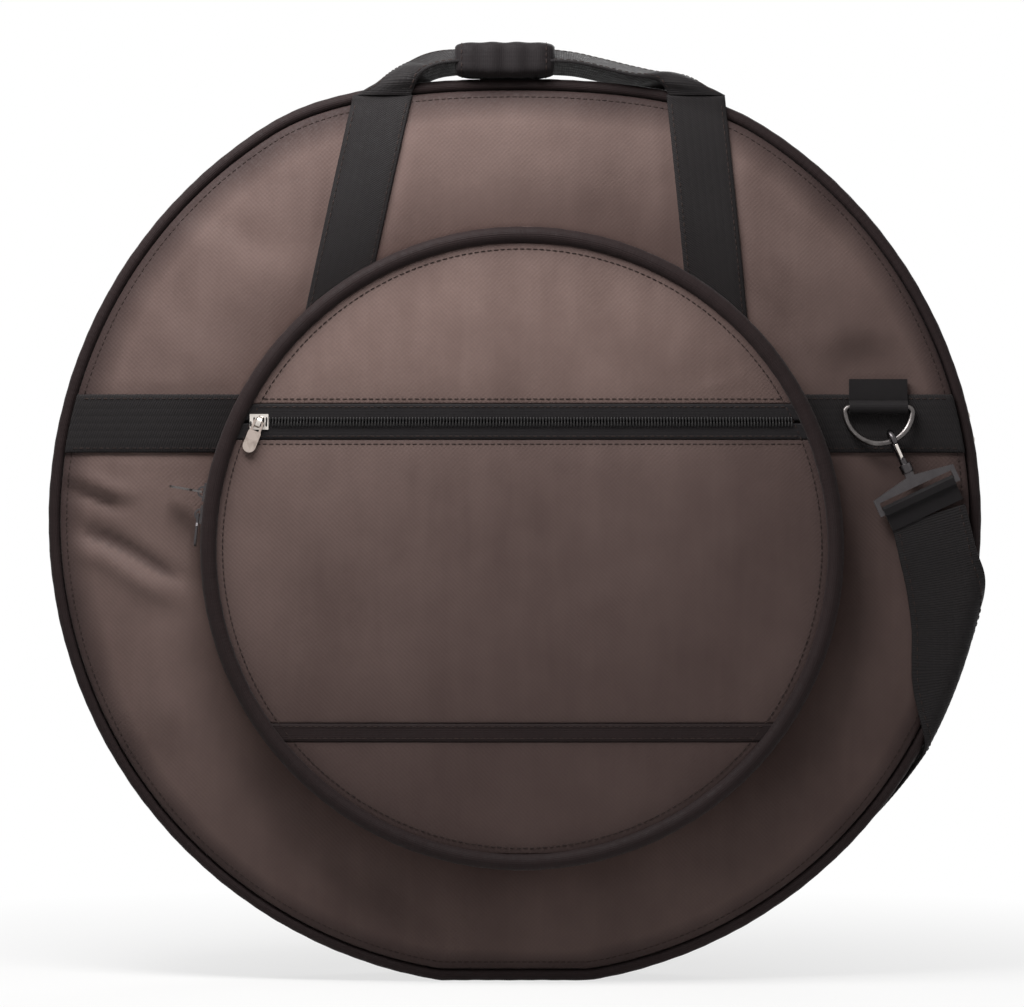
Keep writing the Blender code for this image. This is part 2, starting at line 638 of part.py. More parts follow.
def strap_anchor(word, spin, lean, host):
    """Ring, snap hook with its gate, swivel eye and strap end, drawn for the front right."""
    frame = pivot(word + "_anchor_frame", in_frame(host, Matrix.Rotation(spin, 4, "Z")), host)
    tab(word + "_ring_tab", frame)
    tilt = Matrix.Rotation(-RING_TILT, 4, "X")
    ring = pivot(word + "_ring_pivot", Matrix.Translation(ring_bar()) @ tilt, frame)
    tube(word + "_d_ring", ring_route(), RING_WIRE, "nickel", Matrix(), ring, True)
    drop = Vector((RING_HALF_WIDTH * sin(lean), 0, -RING_SHOULDER - RING_HALF_WIDTH * cos(lean)))
    contact = ring_bar() + tilt @ drop
    leaning = Matrix.Rotation(-lean, 4, "Y")
    hook = pivot(word + "_hook_pivot", tilt.inverted() @ Matrix.Translation(-ring_bar())
                 @ Matrix.Translation(contact) @ leaning, ring)
    points, wide = hook_route()
    tube(word + "_hook", points, HOOK_WIRE, "dark_metal", Matrix(), hook, shares=wide)
    gate_foot = Vector((0, -GATE_FOOT_SHARES[0] * bow_radius(), -SHANK_LENGTH * GATE_FOOT_SHARES[1]))
    gate = pivot(word + "_gate_pivot", Matrix.Translation(gate_foot), hook)
    tip = Vector((0, -bow_radius(), -HOOK_TIP - GATE_RADIUS / 2)) - gate_foot
    tube(word + "_gate", [(0, 0, 0), tuple(tip)], GATE_RADIUS, "nickel", Matrix(), gate)
    eye_place = Matrix.Translation((0, 0, -SHANK_LENGTH - CLEARANCE))
    eye = pivot(word + "_eye_pivot", eye_place, hook)
    strap_eye(word + "_eye", eye)
    return strap_end(word + "_strap_end", eye)


def bow_radius():
    return RING_WIRE + HOOK_PLAY + HOOK_WIRE


def eye_heights():
    """Top of the slot, top of the bar under it, and the bar's foot, down from the stem's top."""
    slot = EYE_STEM + EYE_SHOULDER + EYE_WALL
    bar = slot + EYE_SLOT
    return slot, bar, bar + EYE_WALL


def strap_eye(name, parent):
    """The swivel's flat loop: a stem that widens to a slot as wide as the strap."""
    slot, bar, foot = eye_heights()
    inner = STRAP_WIDTH / 2 + EYE_PLAY
    outer = inner + EYE_WALL
    stem = COLLAR_RADIUS * EYE_STEM_SHARE
    half = [(stem, 0), (stem, -EYE_STEM), (outer, -EYE_STEM - EYE_SHOULDER), (outer, -foot)]
    loop = half + [(-x, y) for x, y in reversed(half)]
    hole = [(-inner, -slot), (inner, -slot), (inner, -bar), (-inner, -bar)]
    return add(name, outline_curve(name, [loop, hole], EYE_THICKNESS), "dark_metal", STAND_UP, parent)


def strap_end(name, parent):
    """The strap's sewn loop round the eye's lower bar, and the tail below it, from the side."""
    slot, bar, foot = eye_heights()
    play = RING_PLAY
    deep = EYE_THICKNESS / 2 + play
    low, high = -foot - play, -bar + play
    hole = [(-deep, low), (deep, low), (deep, high), (-deep, high)]
    wall = STRAP_THICKNESS
    out = deep + wall
    half = [(wall, -foot - END_TAIL), (wall, low - wall), (out, low), (out, high), (deep, high + wall)]
    loop = half + [(-x, y) for x, y in reversed(half)]
    data = outline_curve(name, [loop, hole], STRAP_WIDTH)
    add(name, data, "webbing", SIDE_ON, parent)
    return world_of(parent) @ Matrix.Translation((0, 0, -foot - END_TAIL - CLEARANCE))


def strap_route(start, end):
    """Middle points of the shoulder strap and the side it turns outwards at each."""
    def rim(angle, out, y):
        spoke = Vector((sin(radians(angle)), 0, cos(radians(angle))))
        return spoke * (RIM_RADIUS + out) + Vector((0, y, 0)) + MIDDLE.translation, spoke

    front, back, off = Vector((0, -1, 0)), Vector((0, 1, 0)), STRAP_OFF_RIM
    lead = STRAP_LEAD
    route = [(start @ Vector((0, 0, -down)), front) for down in (0, lead / 3, lead)]
    route.append((MIDDLE @ Vector(STRAP_OVER_RIM), front))
    for angle, y, turn in STRAP_WRAP:
        point, spoke = rim(angle, off, y)
        route.append((point, (spoke * cos(turn) + (back if y > 0 else front) * sin(turn)).normalized()))
    for point in STRAP_BEHIND:
        route.append((MIDDLE @ Vector(point), back))
    route += [(end @ Vector((0, 0, -down)), back) for down in (lead, lead / 3, 0)]
    return route


def shoulder_strap(start, end):
    """Flat webbing swept along its route, its face turned to the bag all the way."""
    route = strap_route(start, end)
    points = [p for p, _ in route]
    middles = smooth_path(points, 4)
    faces = smooth_path([n for _, n in route], 4, points)
    rings = []
    for i, middle in enumerate(middles):
        along = (middles[min(i + 1, len(middles) - 1)] - middles[max(i - 1, 0)]).normalized()
        out = (faces[i] - along * faces[i].dot(along)).normalized()
        rings.append(section(middle, along.cross(out), out, STRAP_WIDTH, STRAP_THICKNESS))
    add("shoulder_strap", ribbon_mesh("shoulder_strap", rings), "webbing")
    adjuster(middles, faces)
    long = sum((b - a).length for a, b in zip(middles, middles[1:]))
    print("shoulder strap length", round(long, 4))


def adjuster(middles, faces):
    """The tri-glide that sets the strap's length, lying on the strap behind the bag."""
    i = int(len(middles) * ADJUSTER_SHARE)
    along = (middles[i + 1] - middles[i - 1]).normalized()
    out = (faces[i] - along * faces[i].dot(along)).normalized()
    turn = Matrix((along.cross(out), along, out)).transposed().to_4x4()
    lift = STRAP_THICKNESS / 2 + EYE_THICKNESS / 2 + CLEARANCE
    w, h = STRAP_WIDTH / 2 + EYE_PLAY + EYE_WALL, ADJUSTER_LENGTH / 2
    slot_w, rail = STRAP_WIDTH / 2 + EYE_PLAY, EYE_WALL / 2
    loops = [[(-w, -h), (w, -h), (w, h), (-w, h)]]
    for low, high in ((-h + EYE_WALL, -rail), (rail, h - EYE_WALL)):
        loops.append([(-slot_w, low), (slot_w, low), (slot_w, high), (-slot_w, high)])
    place = Matrix.Translation(middles[i] + out * lift) @ turn
    add("strap_adjuster", outline_curve("strap_adjuster", loops, EYE_THICKNESS), "dark_metal", place)


def as_mesh(obj):
    """A curve's solid as a closed mesh."""
    shape = obj.evaluated_get(bpy.context.evaluated_depsgraph_get())
    mesh = bpy.data.meshes.new_from_object(shape)
    bm = bmesh.new()
    bm.from_mesh(mesh)
    bmesh.ops.remove_doubles(bm, verts=bm.verts, dist=CLEARANCE / 100)
    bm.to_mesh(mesh)
    bm.free()
    return mesh


def loose(name, curve, place):
    """A helper solid outside the bag, made a mesh."""
    obj = bpy.data.objects.new(name, curve)
    CUTTERS.objects.link(obj)
    obj.matrix_basis = place
    bpy.context.view_layer.update()
    mesh = as_mesh(obj)
    bpy.data.objects.remove(obj)
    solid = bpy.data.objects.new(name, mesh)
    CUTTERS.objects.link(solid)
    solid.matrix_basis = place
    solid.hide_render = True
    solid.display_type = "WIRE"
    return solid


def slider_mesh(crown_turn, has_lower):
    """A zip slider: plates joined by a neck between the teeth, and the crown that holds the pull.

    x is along the zip and z is out of it, from the teeth's outer face. The lower plate is optional.
    """
    w, n, t = SLIDER_WIDTH / 2, SLIDER_NECK / 2, SLIDER_PLATE
    top, deep = CLEARANCE, -SLIDER_DEPTH
    thin = CLEARANCE / 3      # the plates are a little thinner beside the neck
    half = [(w, top + t), (w, top), (n, top + thin), (n, deep - thin)]
    if has_lower:
        half += [(w * LOWER_PLATE_SHARE, deep), (w * LOWER_PLATE_SHARE, deep - t)]
    loop = half + [(-x, y) for x, y in reversed(half)]
    along = Matrix(((0, 0, 1, 0), (1, 0, 0, 0), (0, 1, 0, 0), (0, 0, 0, 1)))
    body = loose("slider_plates", outline_curve("slider_plates", [loop], SLIDER_LENGTH), along)
    foot = top + t
    turn = [pi * i / 12 for i in range(13)]
    a, b = CROWN_LENGTH / 2, CROWN_LENGTH / 2 - CROWN_WALL
    arch = [(a * cos(k), foot + CROWN_HEIGHT * sin(k)) for k in turn]
    arch = [(a, foot - t / 2)] + arch + [(-a, foot - t / 2)]
    hole = [(b * cos(k), foot + CLEARANCE / 2 + (CROWN_HEIGHT - CROWN_WALL) * sin(k)) for k in turn]
    crown_place = Matrix.Rotation(crown_turn, 4, "Z") @ STAND_UP
    crown = loose("slider_crown", outline_curve("slider_crown", [arch, hole], CROWN_WIDTH), crown_place)
    join = body.modifiers.new("crown", "BOOLEAN")
    join.operation = "UNION"
    join.object = crown
    bpy.context.view_layer.update()
    mesh = bpy.data.meshes.new_from_object(body.evaluated_get(bpy.context.evaluated_depsgraph_get()))
    mesh.transform(body.matrix_world)
    for helper in (body, crown):
        bpy.data.objects.remove(helper)
    return mesh


def pull_curve(name):
    """A flat tab whose closed eye hangs in the slider's crown; x runs down the tab."""
    bar = CROWN_WALL / 2
    half = PULL_WIDTH / 2
    eye = PULL_EYE
    neck = half * 0.82
    tip = [(PULL_LENGTH - half + half * cos(a), half * sin(a)) for a in (pi / 2 - pi * i / 8 for i in range(9))]
    loop = [(-bar, neck), (eye, neck), (eye * 1.35, half)] + tip
    loop += [(eye * 1.35, -half), (eye, -neck), (-bar, -neck)]
    gap = CROWN_WIDTH / 2 + 2 * CLEARANCE
    hole = [(bar, gap), (bar, -gap), (bar + eye, -gap), (bar + eye, gap)]
    return outline_curve(name, [loop, hole], PULL_THICKNESS)


def zip_slider(name, place, host, pull_turn, lift, crown_turn=0, has_lower=True):
    """A slider at a place in the disc's frame, with its pull turned about the slider and lifted."""
    mesh = slider_mesh(crown_turn, has_lower)
    add(name, mesh, "nickel", in_frame(host, place), host)
    eye = CLEARANCE + SLIDER_PLATE + CLEARANCE / 2 + (CROWN_HEIGHT - CROWN_WALL) / 2
    turn = Matrix.Rotation(pull_turn, 4, "Z") @ Matrix.Rotation(-lift, 4, "Y")
    seat = place @ Matrix.Translation((0, 0, eye)) @ turn
    hinge = pivot(name.replace("slider", "pull") + "_pivot", in_frame(host, seat), host)
    pull = name.replace("slider", "pull")
    add(pull, pull_curve(pull), "nickel", Matrix(), hinge)


def main_slider(name, angle, pull_turn):
    """A slider on the rim; with no lower plate it clears the drawn-in top on its way round."""
    host = pivot(name + "_pivot", MIDDLE.copy())
    out = Vector(rim_point(angle, TEETH_INSET)).length
    place = Matrix.Rotation(angle, 4, "Y") @ Matrix.Translation((0, 0, out))
    zip_slider(name, place, host, pull_turn, 0, 0, False)


def pocket_slider(name, angle, pull_turn, lift, lid):
    axis = Matrix.Translation((POCKET_SIDE, 0, -POCKET_DROP))
    host = pivot(name + "_pivot", in_frame(lid, axis), lid)
    level = HALF_DEPTH + CLEARANCE + POCKET_ZIP_LEVEL + TEETH_WIDTH + ZIP_GAP / 2
    out = Matrix.Translation((0, -level, POCKET_RADIUS + CLEARANCE))
    zip_slider(name, axis @ Matrix.Rotation(angle, 4, "Y") @ out, host, pull_turn, lift)


def face_slider(cover):
    back = HALF_DEPTH + CLEARANCE + POCKET_DEPTH + SKIN + FACE_SPACE + FACE_SKIN
    edge = POCKET_RADIUS - 2 * BINDING_RADIUS - CLEARANCE
    corner = FACE_ZIP_HEIGHT + POCKET_DROP + SLIDER_WIDTH / 2
    start = POCKET_SIDE - sqrt(edge * edge - corner * corner) + FACE_ZIP_SPARE + SLIDER_LENGTH / 2
    place = Matrix.Translation((start, -back, FACE_ZIP_HEIGHT))
    host = pivot("face_slider_pivot", in_frame(cover, place), cover)
    zip_slider("face_slider", place @ STAND_UP, host, FACE_PULL_TURN, 0, FACE_PULL_TURN)


def build():
    """Every part, body by body: the back half stands still and the rest is carried by empties."""
    webbing = (HALF_DEPTH + CLEARANCE, HALF_DEPTH + CLEARANCE + WEBBING)
    behind = (-webbing[1], -webbing[0])
    shell_half(1, None)
    hinge_panel(None)
    back_band(behind, None)
    rest = BAND_HEIGHT + WEBBING_WIDTH / 2 + CLEARANCE
    sewn_strap("back_strap_left", STRAP_LEFT_FOOT, STRAP_LEFT_LEAN, behind, None, rest)
    sewn_strap("back_strap_right", STRAP_RIGHT_FOOT, STRAP_RIGHT_LEAN, behind, None, rest)

    fold = GUSSET_THICKNESS / 2
    lid = pivot("lid_pivot", Matrix.Translation((0, 0, fold)))
    shell_half(-1, lid)
    side_band("front_band_left", -1, webbing, lid)
    side_band("front_band_right", 1, webbing, lid)
    sewn_strap("front_strap_left", STRAP_LEFT_FOOT, STRAP_LEFT_LEAN, webbing, lid)
    sewn_strap("front_strap_right", STRAP_RIGHT_FOOT, STRAP_RIGHT_LEAN, webbing, lid)

    leaf = pivot("divider_pivot", Matrix.Translation((0, 0, DIVIDER_FOOT)))
    divider(leaf)

    zip_middle = HALF_DEPTH + CLEARANCE + POCKET_ZIP_LEVEL + TEETH_WIDTH + ZIP_GAP / 2
    foot = Matrix.Translation((POCKET_SIDE, -zip_middle, -POCKET_DROP - POCKET_RADIUS))
    cover = pivot("pocket_pivot", in_frame(lid, foot), lid)
    pocket(lid, cover)

    fold_line = HALF_DEPTH + CLEARANCE + WEBBING / 2
    front = pivot("front_handle_pivot", in_frame(lid, Matrix.Translation((0, -fold_line, HANDLE_HINGE))), lid)
    handle("front_handle", -1, front)
    grip(front)
    back = pivot("back_handle_pivot", MIDDLE @ Matrix.Translation((0, fold_line, HANDLE_HINGE)))
    handle("back_handle", 1, back)

    start = strap_anchor("front", 0, FRONT_LEAN, lid)
    end = strap_anchor("back", pi, BACK_LEAN, None)
    shoulder_strap(start, end)

    main_slider("main_slider_left", MAIN_SLIDER_LEFT, pi)
    main_slider("main_slider_right", MAIN_SLIDER_RIGHT, 0)
    pocket_slider("pocket_slider_upper", POCKET_SLIDER_UPPER, 0, pi / 2, lid)
    pocket_slider("pocket_slider_lower", POCKET_SLIDER_LOWER, pi, 0, lid)
    face_slider(cover)


MIDDLE = Matrix.Translation((0, 0, CENTRE_HEIGHT))
clear_scene()
BAG = collection("cymbal_bag")
CUTTERS = collection("cutters")
build()
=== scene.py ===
from math import cos, pi, radians, sin, sqrt

import bmesh
import bpy
import numpy as np
from mathutils import Matrix, Vector


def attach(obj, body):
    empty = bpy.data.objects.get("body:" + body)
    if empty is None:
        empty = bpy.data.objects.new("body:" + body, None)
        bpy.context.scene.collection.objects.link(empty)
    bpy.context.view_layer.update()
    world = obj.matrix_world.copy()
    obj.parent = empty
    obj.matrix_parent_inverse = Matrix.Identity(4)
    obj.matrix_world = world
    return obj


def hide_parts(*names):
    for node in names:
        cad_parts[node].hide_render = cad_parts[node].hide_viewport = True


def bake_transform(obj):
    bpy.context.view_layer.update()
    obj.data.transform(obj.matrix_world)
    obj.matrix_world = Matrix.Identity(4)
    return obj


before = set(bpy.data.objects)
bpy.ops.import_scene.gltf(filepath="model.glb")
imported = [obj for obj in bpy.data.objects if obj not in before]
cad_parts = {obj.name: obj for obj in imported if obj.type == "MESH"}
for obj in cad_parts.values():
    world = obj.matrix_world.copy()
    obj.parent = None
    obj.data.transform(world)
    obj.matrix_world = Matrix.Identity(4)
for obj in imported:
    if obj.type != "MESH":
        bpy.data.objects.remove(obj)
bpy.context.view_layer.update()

# the bag's own sizes, in metres, as its frame has them
bag = {
    "radius": 0.305, "baseSag": 0.004, "topSag": 0.011, "topRounding": 0.040, "baseRounding": 0.0005,
    "centre": 0.301, "halfDepth": 0.0375, "piping": 0.004, "web": 0.002, "webWidth": 0.038, "gap": 0.0003,
    "zipEnd": radians(153.75),
}
pocket = {
    "x": 0.0047, "z": -0.0182, "radius": 0.208, "wall": 0.003, "binding": 0.0055, "base": 0.0378,
    "face": 0.0753, "faceSkin": 0.0015, "zipEnd": radians(150),
}
pocketMiddle = (pocket["x"], pocket["z"])


def say(words):
    print("bag:", words)


def smoothLeast(a, b, blend):
    near = np.clip(blend - abs(a - b), 0, None) / blend
    return np.minimum(a, b) - near * near * blend / 4


def rimRadius(turn, inset, baseInset=None):
    # the outline's distance from its middle: a circle, drawn in flat at the top and pressed flat at the base
    rest = inset if baseInset is None else baseInset
    turn, inset, rest = np.broadcast_arrays(*(np.asarray(v, float) for v in (turn, inset, rest)))
    c = np.cos(turn)
    radius = bag["radius"] - inset
    flat = (bag["radius"] - bag["topSag"] - inset) / np.where(c > 0.1, c, 1)
    radius = np.where(c > 0.1, smoothLeast(radius, flat, bag["topRounding"]), radius)
    flat = (bag["radius"] - bag["baseSag"] - rest) / np.where(c < -0.1, -c, 1)
    return np.where(c < -0.1, smoothLeast(radius, flat, bag["baseRounding"]), radius)


def smoothStep(x, low, high):
    t = np.clip((np.asarray(x, float) - low) / (high - low), 0, 1)
    return t * t * (3 - 2 * t)


def ripple(x, z, seed, size):
    # a sum of seven plane waves, turned and spaced apart by fixed steps, about one unit high
    total = np.zeros(np.broadcast(x, z).shape)
    for k in range(7):
        a = seed * 1.7 + k * 2.399
        length = size * (0.55 + 0.21 * k)
        way = (x * cos(a) + z * sin(a)) * 2 * pi / length
        total = total + np.sin(way + seed * 3.1 + k * 1.3) * (0.6 + 0.1 * k)
    return total / 5


def unit(v):
    return v / np.maximum(np.linalg.norm(v, axis=-1, keepdims=True), 1e-12)


def atPlace(x, y, z):
    # points from how far sideways, how deep and how high above the bag's middle they are
    return np.stack(np.broadcast_arrays(x, y, z + bag["centre"]), -1)


def circlePath(turn, r, y, middle=(0, 0)):
    return atPlace(middle[0] + r * np.sin(turn), y, middle[1] + r * np.cos(turn))


def spokes(turn):
    # the ways outwards and onwards at each turn round a circle
    rest = 0 * turn
    return np.stack([np.sin(turn), rest, np.cos(turn)], -1), np.stack([np.cos(turn), rest, -np.sin(turn)], -1)


def fromPocketMiddle(x, z):
    return np.hypot(x - pocket["x"], z - pocket["z"])


def runOf(path):
    # how far along it each point of a path is
    return np.concatenate([[0], np.cumsum(np.linalg.norm(np.diff(path, axis=0), axis=1))])


def clothMap(profile, run):
    # a map in metres for a closed profile carried along: across the cloth first, then along it
    around = runOf(np.concatenate([profile, profile[:1]]))
    return np.stack(np.meshgrid(around, run, indexing="ij"), -1).transpose(1, 0, 2)


def gridFaces(nu, nv, wrapU, wrapV):
    i, j = np.meshgrid(np.arange(nu if wrapU else nu - 1), np.arange(nv if wrapV else nv - 1), indexing="ij")
    a, b = i * nv + j, ((i + 1) % nu) * nv + j
    c, d = ((i + 1) % nu) * nv + (j + 1) % nv, i * nv + (j + 1) % nv
    quads = np.stack([a, b, c, d], -1).reshape(-1, 4)
    corners = np.stack([i, j, i + 1, j, i + 1, j + 1, i, j + 1], -1).reshape(-1, 4, 2)
    return quads, corners


def makeMesh(name, points, quads, uv, shade=None, closeUp=True):
    # points and quads go in as whole arrays; uv is in metres along the cloth, one pair for each corner
    mesh = bpy.data.meshes.new(name)
    mesh.vertices.add(len(points))
    mesh.vertices.foreach_set("co", np.asarray(points, np.float32).ravel())
    mesh.loops.add(quads.size)
    mesh.loops.foreach_set("vertex_index", quads.ravel().astype(np.int32))
    mesh.polygons.add(len(quads))
    mesh.polygons.foreach_set("loop_start", np.arange(0, quads.size, 4, dtype=np.int32))
    mesh.polygons.foreach_set("use_smooth", np.ones(len(quads), bool))
    layer = mesh.uv_layers.new(name="cloth")
    layer.data.foreach_set("uv", np.asarray(uv, np.float32).ravel())
    if shade is not None:
        attribute = mesh.attributes.new("shade", "FLOAT", "POINT")
        attribute.data.foreach_set("value", np.asarray(shade, np.float32).ravel())
    mesh.update(calc_edges=True)
    mesh.validate()
    obj = bpy.data.objects.new(name, mesh)
    bpy.context.scene.collection.objects.link(obj)
    if closeUp:
        tidyNormals(obj)
    return obj


def tidyNormals(obj):
    bm = bmesh.new()
    bm.from_mesh(obj.data)
    bmesh.ops.remove_doubles(bm, verts=bm.verts, dist=1e-6)
    bmesh.ops.dissolve_degenerate(bm, edges=bm.edges, dist=1e-7)
    bmesh.ops.recalc_face_normals(bm, faces=bm.faces)
    if bm.calc_volume(signed=True) < 0:
        bmesh.ops.reverse_faces(bm, faces=bm.faces)
    bm.to_mesh(obj.data)
    bm.free()


def surface(name, P, uv, wrapU=False, shade=None):
    # a tube of points P[u, v], closed round v; where u doesn't wrap, both ends are capped
    nu, nv = P.shape[:2]
    quads, corners = gridFaces(nu, nv, wrapU, True)
    loopUv = uv[corners[..., 0], corners[..., 1]]
    if not wrapU:
        half = nv // 2
        k = np.arange(half - 1)
        for row in (0, nu - 1):
            ring = row * nv + np.arange(nv)
            quads = np.concatenate([quads, np.stack(
                [ring[k], ring[k + 1], ring[nv - 2 - k], ring[nv - 1 - k]], -1)])
            loopUv = np.concatenate([loopUv, np.zeros((half - 1, 4, 2)) + uv[row, 0]])
    return makeMesh(name, P.reshape(-1, 3), quads, loopUv, shade)


def sheetBody(name, P, depth, uv, shade=None):
    # a sheet with an outer face P[u, v] and an inner one set back by a depth in y, closed round its four edges
    nu, nv = P.shape[:2]
    inner = P.copy()
    inner[..., 1] += depth
    quads, corners = gridFaces(nu, nv, False, False)
    faceUv = uv[corners[..., 0], corners[..., 1]]
    n = nu * nv
    index, flat = np.arange(n).reshape(nu, nv), uv.reshape(-1, 2)
    walls, wallUv = [], []
    for line in (index[0], index[-1], index[:, 0], index[:, -1]):
        a, b = line[:-1], line[1:]
        walls.append(np.stack([a, b, b + n, a + n], -1))
        wallUv.append(np.stack([flat[a], flat[b], flat[b], flat[a]], 1))
    quads = np.concatenate([quads, quads[:, ::-1] + n] + walls)
    loopUv = np.concatenate([faceUv, faceUv[:, ::-1]] + wallUv)
    points = np.concatenate([P.reshape(-1, 3), inner.reshape(-1, 3)])
    both = None if shade is None else np.concatenate([shade.ravel()] * 2)
    return makeMesh(name, points, quads, loopUv, both)


def discBody(name, middle, reach, outer, inner, rings, turns, shade=None):
    # a closed disc: rows run from the middle of the outer face to the edge, and back on the inner face
    turn = np.linspace(0, 2 * pi, turns, endpoint=False)
    share = np.linspace(0.004, 1, rings) ** 0.6
    r = np.concatenate([share, share[::-1]])[:, None] * reach(turn)[None, :]
    x, z = middle[0] + r * np.sin(turn), middle[1] + r * np.cos(turn)
    y = np.where((np.arange(2 * rings) < rings)[:, None], outer(x, z), inner(x, z))
    uv = np.stack([x, z], -1)
    uv = np.concatenate([uv, uv[:, :1]], 1)
    return surface(name, atPlace(x, y, z), uv, shade=None if shade is None else shade(x, z))


def ringBody(name, loop, turns, reach, span=None, middle=(0, 0)):
    # a closed profile carried round the outline: loop gives (distance inwards, y) for each turn
    turn = np.linspace(*(span or (0, 2 * pi)), turns, endpoint=span is not None)
    inset, y = loop(turn)
    P = circlePath(turn[:, None], reach(turn[:, None], inset), y, middle)
    run = np.append(turn, 2 * turn[-1] - turn[-2]) * bag["radius"]
    return surface(name, P, clothMap(P[0], run)[..., ::-1], wrapU=span is None)


def boxLoop(inA, inB, yA, yB, soft):
    # a rectangle with rounded corners, from inset inA to inB and from yA to yB
    corners = ((inB - soft, yB - soft), (inA + soft, yB - soft),
               (inA + soft, yA + soft), (inB - soft, yA + soft))
    t = np.linspace(0, pi / 2, 4)
    a = [x + soft * np.cos(t + k * pi / 2) for k, (x, y) in enumerate(corners)]
    b = [y + soft * np.sin(t + k * pi / 2) for k, (x, y) in enumerate(corners)]
    return np.concatenate(a), np.concatenate(b)


def flatProfile(width, thick):
    # a webbing's section: rounded edges, and flat faces with points between them, so that it can bend across
    soft = thick * 0.4
    a, b = boxLoop(-width / 2, width / 2, -thick / 2, thick / 2, soft)
    across = np.linspace(width / 2 - soft, soft - width / 2, 16)[1:-1]
    a = np.concatenate([a[:4], across, a[4:12], across[::-1], a[12:]])
    b = np.concatenate([b[:4], 0 * across + thick / 2, b[4:12], 0 * across - thick / 2, b[12:]])
    return np.stack([a, b], -1)


def frames(path, up, closed=False):
    # for each point the direction across and the one out, square to the path
    t = unit(np.roll(path, -1, 0) - np.roll(path, 1, 0) if closed else np.gradient(path, axis=0))
    out = unit(up - t * (up * t).sum(-1, keepdims=True))
    return np.cross(t, out), out


def rod(name, path, radius, up, closed=False, grow=1.0, sides=20):
    # a round bar along a path, thicker or thinner by grow at each point
    t = np.linspace(0, 2 * pi, sides, endpoint=False)
    wide, out = frames(path, np.broadcast_to(np.asarray(up, float), path.shape), closed)
    section = radius * np.stack([np.cos(t), np.sin(t)], -1)
    scale = np.broadcast_to(grow, len(path))[:, None, None]
    P = (path[:, None] + wide[:, None] * section[None, :, :1] * scale
         + out[:, None] * section[None, :, 1:] * scale)
    run = runOf(np.concatenate([path, path[:1]]) if closed else path)
    return surface(name, P, clothMap(section, run), wrapU=closed)


def smoothPath(points, steps, spacedAs=None):
    # the same curve as the solids: straight slopes shared between neighbours, by how far apart they are
    p = np.asarray(points, float)
    h = np.diff(runOf(p if spacedAs is None else np.asarray(spacedAs, float)))
    slope = np.diff(p, axis=0) / h[:, None]
    bend = np.empty_like(p)
    bend[0], bend[-1] = slope[0], slope[-1]
    bend[1:-1] = (slope[:-1] * h[1:, None] + slope[1:] * h[:-1, None]) / (h[:-1] + h[1:])[:, None]
    t = np.linspace(0, 1, steps, endpoint=False)[None, :, None]
    a, b, k = p[:-1, None], p[1:, None], h[:, None, None]
    body = a + (b - a) * (t * t * (3 - 2 * t)) + bend[:-1, None] * (k * t * (1 - t) ** 2)
    body = body - bend[1:, None] * (k * t * t * (1 - t))
    return np.concatenate([body.reshape(-1, p.shape[1]), p[-1:]])


def repeated(name, shape, origin, a, b, c):
    # one small closed shape (its points and quads) set down many times: origin + x a + y b + z c
    points, quads = shape
    P = (origin[:, None] + points[None, :, :1] * a[:, None] + points[None, :, 1:2] * b[:, None]
         + points[None, :, 2:] * c[:, None])
    every = (quads[None] + (np.arange(len(origin)) * len(points))[:, None, None]).reshape(-1, 4)
    uv = np.zeros((len(every), 4, 2))
    uv[..., 1] = np.repeat(np.arange(len(origin)) * 0.002, len(quads))[:, None]
    return makeMesh(name, P.reshape(-1, 3), every, uv, closeUp=False)


def bead(length, width, height, squash=0.45):
    # a short rounded bar: four six-sided rings, x along it, z up from its seat
    k = np.arange(6)
    turn = k * pi / 3 + pi / 6
    ring = lambda x, s: np.stack([np.full(6, x * length), np.cos(turn) * width / 2 * s,
                                  height / 2 + np.sin(turn) * height / 2 * s], -1)
    points = np.concatenate([ring(x, s) for x, s in ((-0.5, squash), (-0.28, 1), (0.28, 1), (0.5, squash))])
    quads = [np.stack([r * 6 + k, (r + 1) * 6 + k, (r + 1) * 6 + (k + 1) % 6, r * 6 + (k + 1) % 6], -1)
             for r in range(3)]
    caps = np.array([[0, 1, 2, 3], [0, 3, 4, 5], [21, 20, 19, 18], [23, 22, 21, 18]])
    quads = np.concatenate(quads + [caps])
    p = points[quads]
    volume = (np.cross(p[:, 0], p[:, 1]) * p[:, 2]).sum() + (np.cross(p[:, 0], p[:, 2]) * p[:, 3]).sum()
    return points, quads if volume > 0 else quads[:, ::-1]


def spacedAlong(path, pitch, up, closed=False):
    # places at even steps along a path, with the direction there and the way out of the cloth
    up = np.broadcast_to(np.asarray(up, float), path.shape)
    if closed:
        path, up = np.concatenate([path, path[:1]]), np.concatenate([up, up[:1]])
    run = runOf(path)
    count = max(int(run[-1] / pitch), 1)
    at = (np.arange(count) + 0.5) * run[-1] / count
    read = lambda where, what: np.stack([np.interp(where, run, what[:, k]) for k in range(3)], -1)
    t = unit(read(at + 1e-4, path) - read(at - 1e-4, path))
    out = read(at, up)
    return read(at, path), t, unit(out - t * (out * t).sum(-1, keepdims=True))


def dress(obj, material, slot, body=None, node=None):
    obj.data.materials.append(material)
    if body:
        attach(obj, body)
    if node:
        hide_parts(node)
    return obj


thread = {"pitch": 0.0042, "length": 0.0030, "width": 0.0008, "sunk": 0.38}


def stitches(name, path, up, body, pitch=thread["pitch"], closed=False):
    # a row of thread stitches, half sunk in the cloth
    places, t, out = spacedAlong(path, pitch, up, closed)
    stitch = bead(thread["length"], thread["width"], thread["width"] * 0.9)
    row = repeated(name, stitch, places - out * thread["width"] * thread["sunk"], t, np.cross(out, t), out)
    return dress(row, sewingThread, "webbing", body)


# materials

